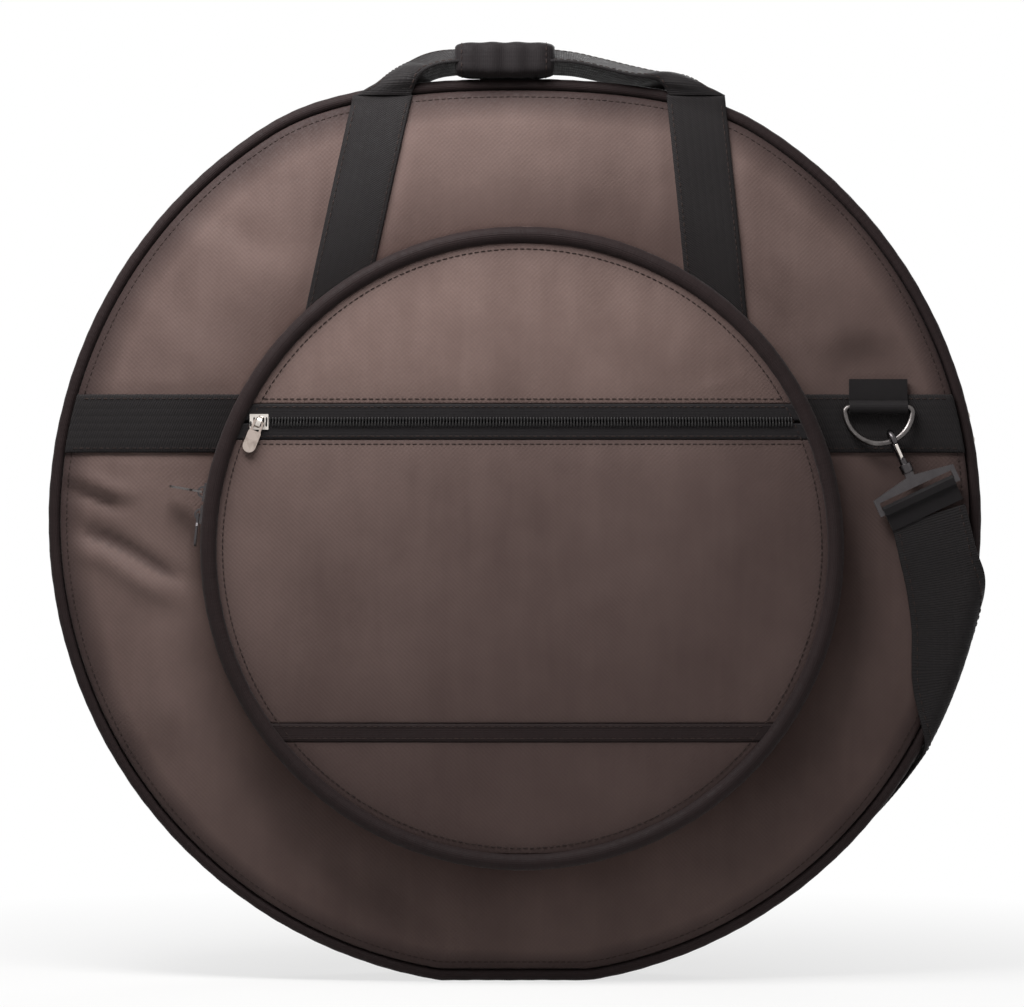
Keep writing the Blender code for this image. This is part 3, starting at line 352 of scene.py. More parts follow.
def hexColour(text):
    # an sRGB colour, as picked from a screen, turned linear
    parts = [int(text[k:k + 2], 16) / 255 for k in (1, 3, 5)]
    return tuple(p / 12.92 if p <= 0.04045 else ((p + 0.055) / 1.055) ** 2.4 for p in parts) + (1.0,)


def addNode(tree, kind, wires=None, **settings):
    # wires gives each input its link or its fixed value
    node = tree.nodes.new(kind)
    for name, value in settings.items():
        setattr(node, name, value)
    for name, value in (wires or {}).items():
        if isinstance(value, bpy.types.NodeSocket):
            tree.links.new(value, node.inputs[name])
        else:
            node.inputs[name].default_value = value
    return node


def newMaterial(name):
    material = bpy.data.materials.new(name)
    material.use_nodes = True
    tree = material.node_tree
    tree.nodes.clear()
    return material, tree, addNode(tree, "ShaderNodeTexCoord").outputs["Object"]


def sums(tree, how, a, b=0.0, c=0.0):
    return addNode(tree, "ShaderNodeMath", {0: a, 1: b, 2: c}, operation=how).outputs[0]


def noiseOf(tree, where, scale, detail=3.0, roughness=0.55, stretch=(1, 1, 1)):
    place = addNode(tree, "ShaderNodeMapping", {"Vector": where, "Scale": stretch}).outputs[0]
    return addNode(tree, "ShaderNodeTexNoise",
                   {"Vector": place, "Scale": scale, "Detail": detail, "Roughness": roughness}).outputs["Fac"]


def ranged(tree, value, low, high, to=(0.0, 1.0)):
    return addNode(tree, "ShaderNodeMapRange", {0: value, 1: low, 2: high, 3: to[0], 4: to[1]}).outputs[0]


def mixed(tree, share, a, colour):
    return addNode(tree, "ShaderNodeMix", {0: share, 6: a, 7: hexColour(colour)}, data_type="RGBA").outputs[2]


def layered(tree, tone, *layers):
    # colours laid over one another: each by a pattern, the range it is read over and the shares this gives
    for pattern, low, high, least, most, colour in layers:
        tone = mixed(tree, ranged(tree, pattern, low, high, (least, most)), tone, colour)
    return tone


def alongCloth(tree):
    # metres along the cloth's own map
    uv = addNode(tree, "ShaderNodeUVMap", uv_map="cloth").outputs[0]
    return addNode(tree, "ShaderNodeSeparateXYZ", {0: uv}).outputs


def sineOf(tree, value, pitch):
    return sums(tree, "SINE", sums(tree, "MULTIPLY", value, pi / pitch))


def finished(material, tree, tone, rough, high, strength, more):
    # the surface itself, with its height as a bump
    bump = addNode(tree, "ShaderNodeBump", {"Height": high, "Strength": strength, "Distance": 1.0}).outputs[0]
    shader = addNode(tree, "ShaderNodeBsdfPrincipled",
                     {"Base Color": tone, "Roughness": rough, "Normal": bump, **more})
    addNode(tree, "ShaderNodeOutputMaterial", {0: shader.outputs[0]})
    return material


clothLook = {
    # the last colour is the painted shade that the shade attribute mixes in
    "colour": "#6b5853", "dark": "#4d3e3a", "light": "#85716b", "paintedShade": "#251a1a",
    # 600 denier yarn is 0.5 mm apart, too fine to show from here, so it is drawn 3 times as coarse
    "thread": 0.0015,
    "weave": 0.00012, "mottle": 0.0005, "fuzz": 0.00012,
}


def wovenPolyester(name, look):
    # coated 600 denier polyester, plain woven: matt, faintly streaked along the warp, with a soft sheen
    material, tree, here = newMaterial(name)
    u, v, _ = alongCloth(tree)
    # over and under: the product of two sine waves
    weave = sums(tree, "MULTIPLY", sineOf(tree, u, look["thread"]), sineOf(tree, v, look["thread"]))
    cloud = noiseOf(tree, here, 9.0, 4.0, 0.6)
    streak = noiseOf(tree, here, 60.0, 3.0, 0.6, (1, 1, 0.12))
    fine = noiseOf(tree, here, 420.0, 2.0)
    tone = layered(tree, hexColour(look["dark"]), (cloud, 0.36, 0.66, 0.0, 1.0, look["light"]))
    tone = mixed(tree, 0.62, tone, look["colour"])
    tone = layered(tree, tone, (streak, 0.42, 0.72, 0.0, 0.20, look["light"]),
                   (weave, -1.0, 1.0, 0.16, 0.0, look["dark"]), (fine, 0.3, 0.7, 0.14, 0.0, look["dark"]))
    # painted shade: the shade attribute darkens the cloth where less light falls
    near = addNode(tree, "ShaderNodeAttribute", attribute_name="shade").outputs["Fac"]
    tone = mixed(tree, near, tone, look["paintedShade"])
    high = sums(tree, "MULTIPLY_ADD", weave, look["weave"] / 2, sums(tree, "MULTIPLY", cloud, look["mottle"]))
    high = sums(tree, "MULTIPLY_ADD", fine, look["fuzz"], high)
    return finished(material, tree, tone, ranged(tree, fine, 0.3, 0.7, (0.58, 0.78)), high, 0.8, {
        "IOR": 1.5, "Specular IOR Level": 0.16, "Sheen Weight": 0.10, "Sheen Roughness": 0.45,
        "Sheen Tint": hexColour("#c9bcb6")})


def ribbedWebbing(name, colour, light, rib, column, depth, sheen=0.03):
    # polypropylene webbing or grosgrain tape: crosswise ribs in lengthwise columns, slightly shiny yarn
    material, tree, here = newMaterial(name)
    u, v, _ = alongCloth(tree)
    cords = sums(tree, "ABSOLUTE", sineOf(tree, u, column))
    wave = sums(tree, "ABSOLUTE", sineOf(tree, v, rib))
    lint = noiseOf(tree, here, 300.0)
    wear = noiseOf(tree, here, 14.0)
    tone = layered(tree, hexColour(colour), (wave, 0.1, 1.0, 0.0, 0.45, light),
                   (cords, 0.0, 0.35, 0.35, 0.0, colour), (lint, 0.45, 0.75, 0.0, 0.25, light),
                   (wear, 0.45, 0.7, 0.0, 0.22, light))
    high = sums(tree, "MULTIPLY", sums(tree, "MULTIPLY_ADD", cords, 0.6, wave), depth)
    high = sums(tree, "MULTIPLY_ADD", lint, depth * 0.8, high)
    return finished(material, tree, tone, ranged(tree, lint, 0.3, 0.7, (0.55, 0.75)), high, 0.9, {
        "IOR": 1.49, "Specular IOR Level": 0.12, "Sheen Weight": sheen, "Sheen Roughness": 0.4})


def plainPlastic(name, colour, roughness, grain, depth, clear=0.0):
    # moulded or extruded nylon: an even colour with a fine grain and a soft gloss
    material, tree, here = newMaterial(name)
    grit = noiseOf(tree, here, grain)
    tone = layered(tree, hexColour(colour), (grit, 0.3, 0.75, 0.0, 0.3, "#3a3634"))
    rough = ranged(tree, grit, 0.3, 0.7, (roughness - 0.08, roughness + 0.1))
    return finished(material, tree, tone, rough, sums(tree, "MULTIPLY", grit, depth), 0.8, {
        "IOR": 1.53, "Specular IOR Level": 0.25, "Coat Weight": clear, "Coat Roughness": 0.3})


def platedMetal(name, colour, dull, roughness, wear):
    # die-cast zinc or bent steel wire with a plated skin: bright, faintly pitted, duller where it is handled
    material, tree, here = newMaterial(name)
    patch = noiseOf(tree, here, 160.0, 4.0, 0.6)
    pits = noiseOf(tree, here, 1400.0, 2.0)
    tone = layered(tree, hexColour(colour), (patch, 0.45, 0.7, 0.0, wear, dull))
    rough = ranged(tree, patch, 0.35, 0.7, (roughness - 0.07, roughness + 0.14))
    high = sums(tree, "MULTIPLY", pits, 0.00003)
    return finished(material, tree, tone, rough, high, 0.6, {"Metallic": 1.0})


def quiltedLining(name, diamond=0.024):
    # brushed tricot lining over foam, sewn in diamonds: very matt, each diamond swells between its seams
    material, tree, here = newMaterial(name)
    u, v, _ = alongCloth(tree)
    a, b = (sums(tree, "ABSOLUTE", sineOf(tree, sums(tree, how, u, v), round(diamond * sqrt(2), 3)))
            for how in ("ADD", "SUBTRACT"))
    swell = sums(tree, "POWER", sums(tree, "MULTIPLY", a, b), 0.45)
    nap = noiseOf(tree, here, 500.0)
    # painted shade: the lining is darkened in the grooves along its quilted seams
    tone = layered(tree, hexColour("#5a5450"), (swell, 0.0, 0.5, 0.6, 0.0, "#2e2a28"),
                   (nap, 0.35, 0.7, 0.0, 0.3, "#7a736e"))
    high = sums(tree, "MULTIPLY_ADD", swell, 0.0025, sums(tree, "MULTIPLY", nap, 0.0003))
    return finished(material, tree, tone, 0.9, high, 0.9, {
        "Sheen Weight": 0.5, "Sheen Roughness": 0.5, "Specular IOR Level": 0.2})


bagCloth = wovenPolyester("wovenPolyester", clothLook)
strapWebbing = ribbedWebbing("polypropyleneWebbing", "#151314", "#2a2727", 0.0016, 0.0048, 0.00022)
bindingTape = ribbedWebbing("grosgrainBinding", "#191212", "#2b2020", 0.0012, 0.0040, 0.00012, 0.04)
zipTape = ribbedWebbing("wovenZipTape", "#131112", "#232021", 0.0010, 0.0030, 0.00008)
coilNylon = plainPlastic("nylonCoil", "#0c0b0c", 0.5, 900.0, 0.00003)
sewingThread = ribbedWebbing("polyesterThread", "#241c1b", "#40342f", 0.0006, 0.0009, 0.00005)
gripCloth = ribbedWebbing("neopreneGrip", "#151213", "#262122", 0.0012, 0.0012, 0.00010, 0.04)
brightNickel = platedMetal("nickelPlatedZinc", "#d6cfc8", "#8d8680", 0.26, 0.5)
warmPull = platedMetal("satinNickelPull", "#ada098", "#6f635c", 0.42, 0.6)
darkChrome = platedMetal("blackNickelSteel", "#4a4748", "#343132", 0.30, 0.4)
greyNickel = platedMetal("greyNickelWire", "#625e5d", "#353231", 0.30, 0.7)
blackPaint = plainPlastic("blackPowderCoat", "#131213", 0.38, 700.0, 0.00004, 0.12)
lining = quiltedLining("brushedTricotLining")
say("materials ready")


# camera, light and floor

# "plane" is the depth at which a pixel of the photograph is this many metres wide; the bag stands off centre
view = {
    "distance": 3.2025, "plane": -0.0375, "pixel": 0.000653, "acrossPx": -2.8, "upPx": 16.6, "widthPx": 1024,
}
lamps = {
    "overhead": {"at": (-0.25, -0.42, 0.97), "aim": (0, -0.05, 0.42), "size": (0.7, 0.3), "watts": 11.6},
    "front": {"at": (-0.9, -2.6, 1.2), "aim": (0, 0, 0.3), "size": (1.6, 1.6), "watts": 2.9},
    "right": {"at": (1.5, -0.9, 0.9), "aim": (0.1, 0, 0.35), "size": (0.7, 1.0), "watts": 0.8},
    "behind": {"at": (0.7, 1.9, 1.3), "aim": (0, 0, 0.3), "size": (1.2, 1.0), "watts": 16.0},
}
studio = {
    "soft": (0.95, 0.96, 1.0, 1), "softStrength": 0.07,
    "floor": "#f2f1ef", "floorSize": 30, "floorDrop": 0.0004,
    # the floor fades into the white background between these distances, from this share of white on
    "fadeFrom": 0.15, "fadeTo": 0.75, "whiteAtBag": 0.72,
}

scene = bpy.context.scene
camera = bpy.data.objects.new("camera", bpy.data.cameras.new("camera"))
scene.collection.objects.link(camera)
camera.data.sensor_width = 36
camera.data.lens = camera.data.sensor_width * view["distance"] / (view["widthPx"] * view["pixel"])
camera.data.clip_end = 60
camera.location = (view["acrossPx"] * view["pixel"], view["plane"] - view["distance"],
                   bag["centre"] + view["upPx"] * view["pixel"])
camera.rotation_euler = (pi / 2, 0, 0)
scene.camera = camera
scene.view_settings.view_transform = "Standard"

for name, lamp in lamps.items():
    light = bpy.data.objects.new(name, bpy.data.lights.new(name, "AREA"))
    light.data.shape = "RECTANGLE"
    light.data.size, light.data.size_y = lamp["size"]
    light.data.energy = lamp["watts"]
    light.location = lamp["at"]
    light.rotation_euler = (Vector(lamp["aim"]) - Vector(lamp["at"])).to_track_quat("-Z", "Y").to_euler()
    scene.collection.objects.link(light)


def showsWhite(tree):
    # one for what the camera sees straight on, in a gloss or through glass, and zero for light on things
    seen = addNode(tree, "ShaderNodeLightPath").outputs
    return sums(tree, "MAXIMUM", seen["Is Camera Ray"], sums(
        tree, "MAXIMUM", seen["Is Glossy Ray"], seen["Is Transmission Ray"]))


world = bpy.data.worlds.new("studio")
scene.world = world
world.use_nodes = True
tree = world.node_tree
tree.nodes.clear()
soft = addNode(tree, "ShaderNodeBackground", {"Color": studio["soft"], "Strength": studio["softStrength"]})
white = addNode(tree, "ShaderNodeBackground", {"Color": (1, 1, 1, 1), "Strength": 1.0})
both = addNode(tree, "ShaderNodeMixShader", {0: showsWhite(tree), 1: soft.outputs[0], 2: white.outputs[0]})
addNode(tree, "ShaderNodeOutputWorld", {0: both.outputs[0]})

floorLook, tree, here = newMaterial("paleFloor")
paint = addNode(tree, "ShaderNodeBsdfDiffuse", {"Color": hexColour(studio["floor"])})
glow = addNode(tree, "ShaderNodeEmission", {"Color": (1, 1, 1, 1), "Strength": 1.0})
away = addNode(tree, "ShaderNodeVectorMath", {0: here}, operation="LENGTH").outputs["Value"]
share = sums(tree, "MULTIPLY", showsWhite(tree), ranged(
    tree, away, studio["fadeFrom"], studio["fadeTo"], (studio["whiteAtBag"], 1.0)))
both = addNode(tree, "ShaderNodeMixShader", {0: share, 1: paint.outputs[0], 2: glow.outputs[0]})
addNode(tree, "ShaderNodeOutputMaterial", {0: both.outputs[0]})
bpy.ops.mesh.primitive_plane_add(size=studio["floorSize"], location=(0, 0, -studio["floorDrop"]))
floor = bpy.context.object
floor.name = "floor"
floor.data.materials.append(floorLook)
say("camera, lamps and floor ready")


# where the strap's rings, hooks and eyes hang at rest

hardware = {
    "wire": 0.0020, "play": 0.0006, "tabWall": 0.0018, "half": 0.022, "shoulder": 0.002, "height": 0.0735,
    "tilt": radians(10), "offPocket": 0.0243, "hookWire": 0.0022, "hookPlay": 0.0012, "shank": 0.0230,
    "collar": 0.0042, "gate": 0.0014, "tip": 0.0020, "stem": 0.0025, "eyeShoulder": 0.0045, "eyeWall": 0.0030,
    "slot": 0.0056, "tail": 0.0116, "frontLean": radians(25), "backLean": radians(-20),
}
bow = hardware["wire"] + hardware["hookPlay"] + hardware["hookWire"]
eyeFoot = hardware["stem"] + hardware["eyeShoulder"] + hardware["slot"] + 2 * hardware["eyeWall"]


def hardwarePlaces(spin, lean):
    # drawn for the front right, and turned about the upright axis
    h = hardware
    turn = Matrix.Translation((0, 0, bag["centre"])) @ Matrix.Rotation(spin, 4, "Z")
    side = pocket["x"] + pocket["radius"] + h["offPocket"]
    out = bag["halfDepth"] + bag["web"] + 2 * bag["gap"] + h["wire"] + h["play"] + h["tabWall"]
    bar = turn @ Matrix.Translation((side, -out, h["height"]))
    ring = bar @ Matrix.Rotation(-h["tilt"], 4, "X")
    touch = ring @ Vector((h["half"] * sin(lean), 0, -h["shoulder"] - h["half"] * cos(lean)))
    hook = Matrix.Translation(touch) @ turn.to_3x3().to_4x4() @ Matrix.Rotation(-lean, 4, "Y")
    end = hook @ Matrix.Translation((0, 0, -h["shank"] - eyeFoot - h["tail"] - 2 * bag["gap"]))
    return {"ring": ring, "hook": hook, "end": end}


frontSet = hardwarePlaces(0, hardware["frontLean"])
backSet = hardwarePlaces(pi, hardware["backLean"])


# the shoulder strap, from the front hook round the right-hand rim to the back hook

strap = {
    "width": 0.050, "thick": 0.0018, "lead": 0.014, "lift": 0.0012,
    # the bag's outside near its rim, on which the strap lies
    "hull": {"front": -0.0408, "side": 0.3068, "round": 0.0075},
    # along the front: sideways, height, lift off the bag
    "lay": (
        (0.2690, 0.0031, 0.0075), (0.2704, -0.0016, 0.0074), (0.2748, -0.0200, 0.0066),
        (0.2800, -0.0450, 0.0040), (0.2832, -0.0700, 0.0019),
    ),
    # over the rim: degrees from the top, distance round the edge from the front corner
    "over": ((110.5, 0.004), (115.0, 0.022), (119.5, 0.042), (124.5, 0.064), (129.5, 0.084)),
    "behind": ((0.181, 0.0450, -0.2195), (0.100, 0.0500, -0.238), (0.0, 0.0530, -0.212),
               (-0.090, 0.0530, -0.150), (-0.160, 0.0510, -0.078)),
    # the strap bends to the hull between these two stretches of its length
    "bendFrom": (0.020, 0.050), "bendTo": (0.27, 0.32), "stitchPitch": 0.0050, "stitchAt": {-1: 17, 1: 4},
}
strapFlat = 2 * (-strap["hull"]["front"] - strap["hull"]["round"])


def hullPoint(turn, q):
    # q is the distance round the edge: flat front, a rounded corner, the gusset, a rounded corner, flat back
    front, side, soft = strap["hull"]["front"], strap["hull"]["side"], strap["hull"]["round"]
    corner = soft * pi / 2
    a1 = np.clip(q / soft, 0, pi / 2)
    a2 = np.clip((q - corner - strapFlat) / soft, 0, pi / 2)
    r = side - soft + soft * np.sin(a1) - soft * (1 - np.cos(a2))
    r = r + np.clip(q, None, 0) - np.clip(q - 2 * corner - strapFlat, 0, None)
    y = front + soft * (1 - np.cos(a1)) + np.clip(q - corner, 0, strapFlat) + soft * np.sin(a2)
    ny = -np.cos(a1) * (q < corner + strapFlat / 2) + np.sin(a2)
    nr = np.sin(a1) * np.cos(a2)
    return circlePath(turn, r, y), np.stack([nr * np.sin(turn), ny, nr * np.cos(turn)], -1)


def strapOnHull():
    # the strap's middle line as (angle, distance round the edge, lift)
    flatR = strap["hull"]["side"] - strap["hull"]["round"]
    whole = strap["hull"]["round"] * pi + strapFlat + flatR
    rows = [(np.arctan2(x, z), np.hypot(x, z) - flatR, lift) for x, z, lift in strap["lay"]]
    rows += [(radians(a), q, strap["lift"]) for a, q in strap["over"]]
    behind = list(strap["behind"])
    for d in (strap["lead"], strap["lead"] / 3, 0):
        p = backSet["end"] @ Vector((0, 0, -d))
        behind.append((p.x, p.y, p.z - bag["centre"]))
    for x, y, z in behind:
        rows.append((np.arctan2(x, z) % (2 * pi), whole - np.hypot(x, z), y + strap["hull"]["front"]))
    return np.array(rows)


def strapSheet():
    # each point across the strap is laid back on the hull, so that the strap bends round the rim
    def place(turn, q, lift):
        p, out = hullPoint(turn, q)
        return p + out * lift[..., None]
    rows = strapOnHull()
    fine = smoothPath(rows, 14, place(*rows.T))
    path = place(*fine.T)
    wide, out = frames(path, hullPoint(fine[:, 0], fine[:, 1])[1])
    profile = flatProfile(strap["width"], strap["thick"])
    tangent = spokes(fine[:, 0])[1]
    onward = (wide * tangent).sum(-1)[:, None] * profile[None, :, 0]
    aside = (wide * np.cross(out, tangent)).sum(-1)[:, None] * profile[None, :, 0]
    far = np.hypot(path[:, 0], path[:, 2] - bag["centre"])[:, None] - aside * (fine[:, 1:2] < 0)
    laid = place(fine[:, :1] + np.arctan2(onward, far), fine[:, 1:2] + aside,
                 fine[:, 2:3] + profile[None, :, 1])
    straight = path[:, None] + wide[:, None] * profile[None, :, :1] + out[:, None] * profile[None, :, 1:]
    run = runOf(path)
    bent = smoothStep(run, *strap["bendFrom"]) * (1 - smoothStep(run, *strap["bendTo"]))
    P = straight + (laid - straight) * bent[:, None, None]
    return surface("shoulderStrap", P, clothMap(profile, run)), path, out, P, run[-1]


shoulderStrap, strapPath, strapOut, strapSkin, strapLong = strapSheet()
dress(shoulderStrap, strapWebbing, "webbing", None, "shoulder_strap")
strapRows = []
for side, k in strap["stitchAt"].items():
    # the same place on the strap's two faces; the stitches stand just clear of the outer one
    across = strapSkin.shape[1] - 3 - k
    line = strapSkin[:, k] + unit(strapSkin[:, k] - strapSkin[:, across]) * 0.0002
    strapRows.append(stitches("strapEdgeStitch" + ("Left" if side < 0 else "Right"), line, strapOut, None,
                              strap["stitchPitch"]))
for piece in [shoulderStrap] + strapRows:
    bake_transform(piece)
say("shoulder strap is %.3f m long" % strapLong)


# how the padded cloth puckers: it is sewn down on its seams and blown out a little by the foam behind it

cloth = {
    "cell": 0.0055, "backCell": 0.0075, "frames": 20, "pressure": 4.0, "slack": 0.9955, "capMm": 6.0,
    "frontShare": 0.45, "faceShare": 0.30, "backShare": 0.9, "reach": 0.31, "crossings": 100,
    "rimEdge": 0.2967, "faceEdge": 0.2045, "faceSewn": 0.1965,
    # bands of the pocket's face that are sewn down: height of the middle, half width
    "faceSeams": ((0.0636, 0.0135), (-0.137, 0.0075)),
    "settings": {"quality": 6, "mass": 0.25, "tension_stiffness": 18, "compression_stiffness": 18,
                 "shear_stiffness": 8, "bending_stiffness": 5.0},
}


def flatCloth(name, inside, sewn, cell):
    # a flat sheet of square cells, kept where inside(x, z) is true and pinned where sewn(x, z) is
    x = np.arange(-cloth["reach"], cloth["reach"] + cell / 2, cell)
    X, Z = np.meshgrid(x, x, indexing="ij")
    # each crossing is moved by a fixed wave of under a third of a cell, so that no fold follows the grid
    X = X + 0.3 * cell * np.sin(Z * 610 + 1.3) * np.cos(X * 470)
    Z = Z + 0.3 * cell * np.cos(X * 530) * np.sin(Z * 390 + 0.4)
    quads, _ = gridFaces(len(x), len(x), False, False)
    quads = quads[inside(X, Z).ravel()[quads].all(1)]
    used, quads = np.unique(quads, return_inverse=True)
    quads = quads.reshape(-1, 4)
    points = np.stack([X.ravel(), 0 * X.ravel(), Z.ravel()], -1)[used]
    obj = makeMesh(name, points, quads, np.zeros((len(quads), 4, 2)), closeUp=False)
    edge = np.bincount(quads.ravel(), minlength=len(points)) < 4
    held = np.nonzero(sewn(points[:, 0], points[:, 2]) | edge)[0]
    obj.vertex_groups.new(name="sewn").add(held.tolist(), 1.0, "REPLACE")
    return obj, points


def puckered(name, inside, sewn, cell):
    # the height of the simulated cloth over a flat grid
    obj, flat = flatCloth(name, inside, sewn, cell)
    soft = obj.modifiers.new("cloth", "CLOTH")
    for key, value in cloth["settings"].items():
        setattr(soft.settings, key, value)
    soft.settings.vertex_group_mass = "sewn"
    soft.settings.use_pressure = True
    soft.settings.uniform_pressure_force = cloth["pressure"]
    # a negative shrink is spare cloth, which puckers against its seams
    soft.settings.shrink_min = 1 - 1 / cloth["slack"]
    soft.settings.effector_weights.gravity = 0
    soft.collision_settings.use_collision = False
    soft.point_cache.frame_end = cloth["frames"] + 1
    for number in range(1, cloth["frames"] + 1):
        scene.frame_set(number)
    shaped = obj.evaluated_get(bpy.context.evaluated_depsgraph_get())
    moved = np.empty(len(flat) * 3, np.float32)
    shaped.data.vertices.foreach_get("co", moved)
    bpy.data.objects.remove(obj)
    scene.frame_set(1)
    height = np.abs(moved[1::3])
    say("%s: %d points, largest move %.1f mm" % (name, len(flat), height.max() * 1000))
    cap = cloth["capMm"] / 1000
    return fieldFrom(flat[:, 0], flat[:, 2], cap * (1 - np.exp(-height / cap)))


def onGrid(value, size):
    return (value + cloth["reach"]) / (2 * cloth["reach"]) * (size - 1)


def fieldFrom(x, z, height):
    # scattered heights gathered on a square grid: each point is shared among the four crossings round it
    size = cloth["crossings"]
    u, v = onGrid(x, size), onGrid(z, size)
    total, weight = np.zeros((size, size)), np.full((size, size), 1e-6)
    for i in (0, 1):
        for k in (0, 1):
            a, b = np.floor(u).astype(int) + i, np.floor(v).astype(int) + k
            share = (1 - abs(u - a)) * (1 - abs(v - b))
            np.add.at(total, (a, b), height * share)
            np.add.at(weight, (a, b), share)
    grid = total / weight
    for _ in range(2):
        grid = (sum(np.roll(grid, way, axis) for axis in (0, 1) for way in (1, -1)) + 4 * grid) / 8
    return grid


def fieldAt(grid, x, z):
    # read the field between its crossings, smoothly
    size = len(grid)
    u, v = np.clip(onGrid(x, size), 0, size - 1.001), np.clip(onGrid(z, size), 0, size - 1.001)
    i, k = np.floor(u).astype(int), np.floor(v).astype(int)
    a, b = u - i, v - k
    return (grid[i, k] * (1 - a) * (1 - b) + grid[i + 1, k] * a * (1 - b) + grid[i, k + 1] * (1 - a) * b
            + grid[i + 1, k + 1] * a * b)


def sewnFace(x, z):
    held = fromPocketMiddle(x, z) > cloth["faceSewn"]
    for middle, half in cloth["faceSeams"]:
        held = held | (abs(z - middle) < half)
    return held


inRim = lambda x, z: np.hypot(x, z) < cloth["rimEdge"] + 0.004
atRim = lambda x, z: np.hypot(x, z) > cloth["rimEdge"] - 0.003
frontPuckers = puckered(
    "frontPuckers", lambda x, z: inRim(x, z) & (fromPocketMiddle(x, z) > pocket["radius"] - 0.006),
    lambda x, z: atRim(x, z) | (fromPocketMiddle(x, z) < pocket["radius"] + 0.001), cloth["cell"])
backPuckers = puckered("backPuckers", inRim, atRim, cloth["backCell"])
facePuckers = puckered("facePuckers", lambda x, z: fromPocketMiddle(x, z) < cloth["faceEdge"], sewnFace,
                       cloth["cell"])


# the two padded panels

panel = {
    # spots pressed flat: sideways and up from the middle, half width, half height
    "pressed": {-1: ((-0.237, 0.083, 0.040, 0.034), (-0.214, 0.020, 0.054, 0.056)),
                1: ((0.237, 0.083, 0.040, 0.034), (0.262, 0.022, 0.046, 0.050))},
    "inset": 0.0083, "skin": 0.0016, "swell": 0.058, "backSwell": 0.0021, "rippleMm": 0.75,
    "rings": 110, "turns": 420, "foam": (0.0353, 0.0292), "foamShare": (0.96, 0.5),
    # tension folds in the cloth: from and to, sideways and up from the middle, height, half width
    "folds": (
        (-0.299, 0.030, -0.252, 0.018, 0.0030, 0.0055), (-0.299, 0.021, -0.255, 0.010, -0.0034, 0.0050),
        (-0.283, -0.006, -0.219, -0.036, -0.0042, 0.0065),
        (-0.284, -0.020, -0.222, -0.050, 0.0034, 0.0080), (-0.262, 0.150, -0.190, 0.090, 0.0016, 0.0120),
        (-0.225, 0.205, -0.150, 0.175, -0.0014, 0.0100), (0.155, 0.150, 0.205, 0.092, -0.0016, 0.0080),
        (0.170, 0.175, 0.232, 0.110, 0.0018, 0.0110), (0.205, 0.195, 0.262, 0.120, -0.0013, 0.0090),
        (0.225, -0.020, 0.285, -0.060, -0.0014, 0.0090), (-0.235, -0.120, -0.190, -0.180, 0.0014, 0.0130),
        (-0.060, 0.265, -0.030, 0.205, -0.0010, 0.0120), (0.040, 0.270, 0.060, 0.205, 0.0012, 0.0140),
        (0.210, -0.130, 0.150, -0.215, 0.0013, 0.0140), (-0.120, -0.225, -0.040, -0.262, -0.0010, 0.0120),
    ),
    "backFolds": (
        (-0.20, 0.13, -0.06, 0.04, 0.0018, 0.014), (0.21, 0.12, 0.07, 0.03, -0.0016, 0.012),
        (-0.15, -0.10, 0.02, -0.16, 0.0016, 0.016), (0.18, -0.08, 0.05, -0.17, -0.0014, 0.014),
        (-0.10, 0.22, -0.02, 0.14, -0.0014, 0.012), (0.12, 0.22, 0.03, 0.13, 0.0015, 0.013),
    ),
}
webs = {
    "round": 0.0007, "along": 46, "band": 0.063, "edge": 0.008, "stitchIn": 0.0028,
    # each strap's middle at footHeight, and how far it leans sideways for each metre up
    "straps": {"Left": (-0.1143, 0.2208), "Right": (0.1308, -0.1000)},
    "footHeight": 0.150, "topHeight": 0.2776,
    "level": (0.018, 0.028),    # the cloth is level under the webbing, and free this far from its middle
}


def foldsAt(x, z, folds):
    # each fold is a ridge or valley: height * exp(-(distance / half width)^2), fading out at both ends
    total = np.zeros(np.broadcast(x, z).shape)
    for x1, z1, x2, z2, high, wide in folds:
        dx, dz = x2 - x1, z2 - z1
        share = ((x - x1) * dx + (z - z1) * dz) / (dx * dx + dz * dz)
        off = ((x - x1) * dz - (z - z1) * dx) / sqrt(dx * dx + dz * dz)
        bendy = off + 0.25 * wide * np.sin(share * 5)
        total = total + high * np.exp(-(bendy / wide) ** 2) * smoothStep(share, -0.25, 0.2) * (
            1 - smoothStep(share, 0.7, 1.3))
    return total


def toRim(x, z, inset):
    # how far a point lies inside the panel's sewn edge
    return rimRadius(np.arctan2(x, z), inset) - np.hypot(x, z)


def heldDown(x, z, side):
    # the sewn ring tab keeps the panel flat round it, and the hook and eye press it flat below
    free = 1
    for middleX, middleZ, wide, high in panel["pressed"][side]:
        free = free * (1 - np.exp(-(((x - middleX) / wide) ** 2 + ((z - middleZ) / high) ** 2) ** 2))
    return free


def betweenWebs(x, z):
    # no puckers under the webbing that is sewn on
    free = smoothStep(abs(z - webs["band"]), *webs["level"])
    for foot, lean in webs["straps"].values():
        off = abs((x - foot) - (z - webs["footHeight"]) * lean) / sqrt(1 + lean * lean)
        free = free * np.where(z > webs["band"], smoothStep(off, *webs["level"]), 1)
    return free


def frontSwell(x, z):
    # zero at the rim's seam and at the pocket's, and fullest half way between them
    fromPocket = np.clip(fromPocketMiddle(x, z) - pocket["radius"] + 0.001, 0, None)
    wide = fromPocket + np.clip(toRim(x, z, panel["inset"]), 0, None) + 1e-9
    s = fromPocket / wide
    full = (4 * s * (1 - s)) ** 0.8
    soft = ripple(x, z, 1.0, 0.085) * panel["rippleMm"] / 1000
    high = full * (panel["swell"] * wide + soft) + np.sqrt(full) * foldsAt(x, z, panel["folds"])
    high = high + fieldAt(frontPuckers, x, z) * cloth["frontShare"] * betweenWebs(x, z)
    return high * heldDown(x, z, 1)


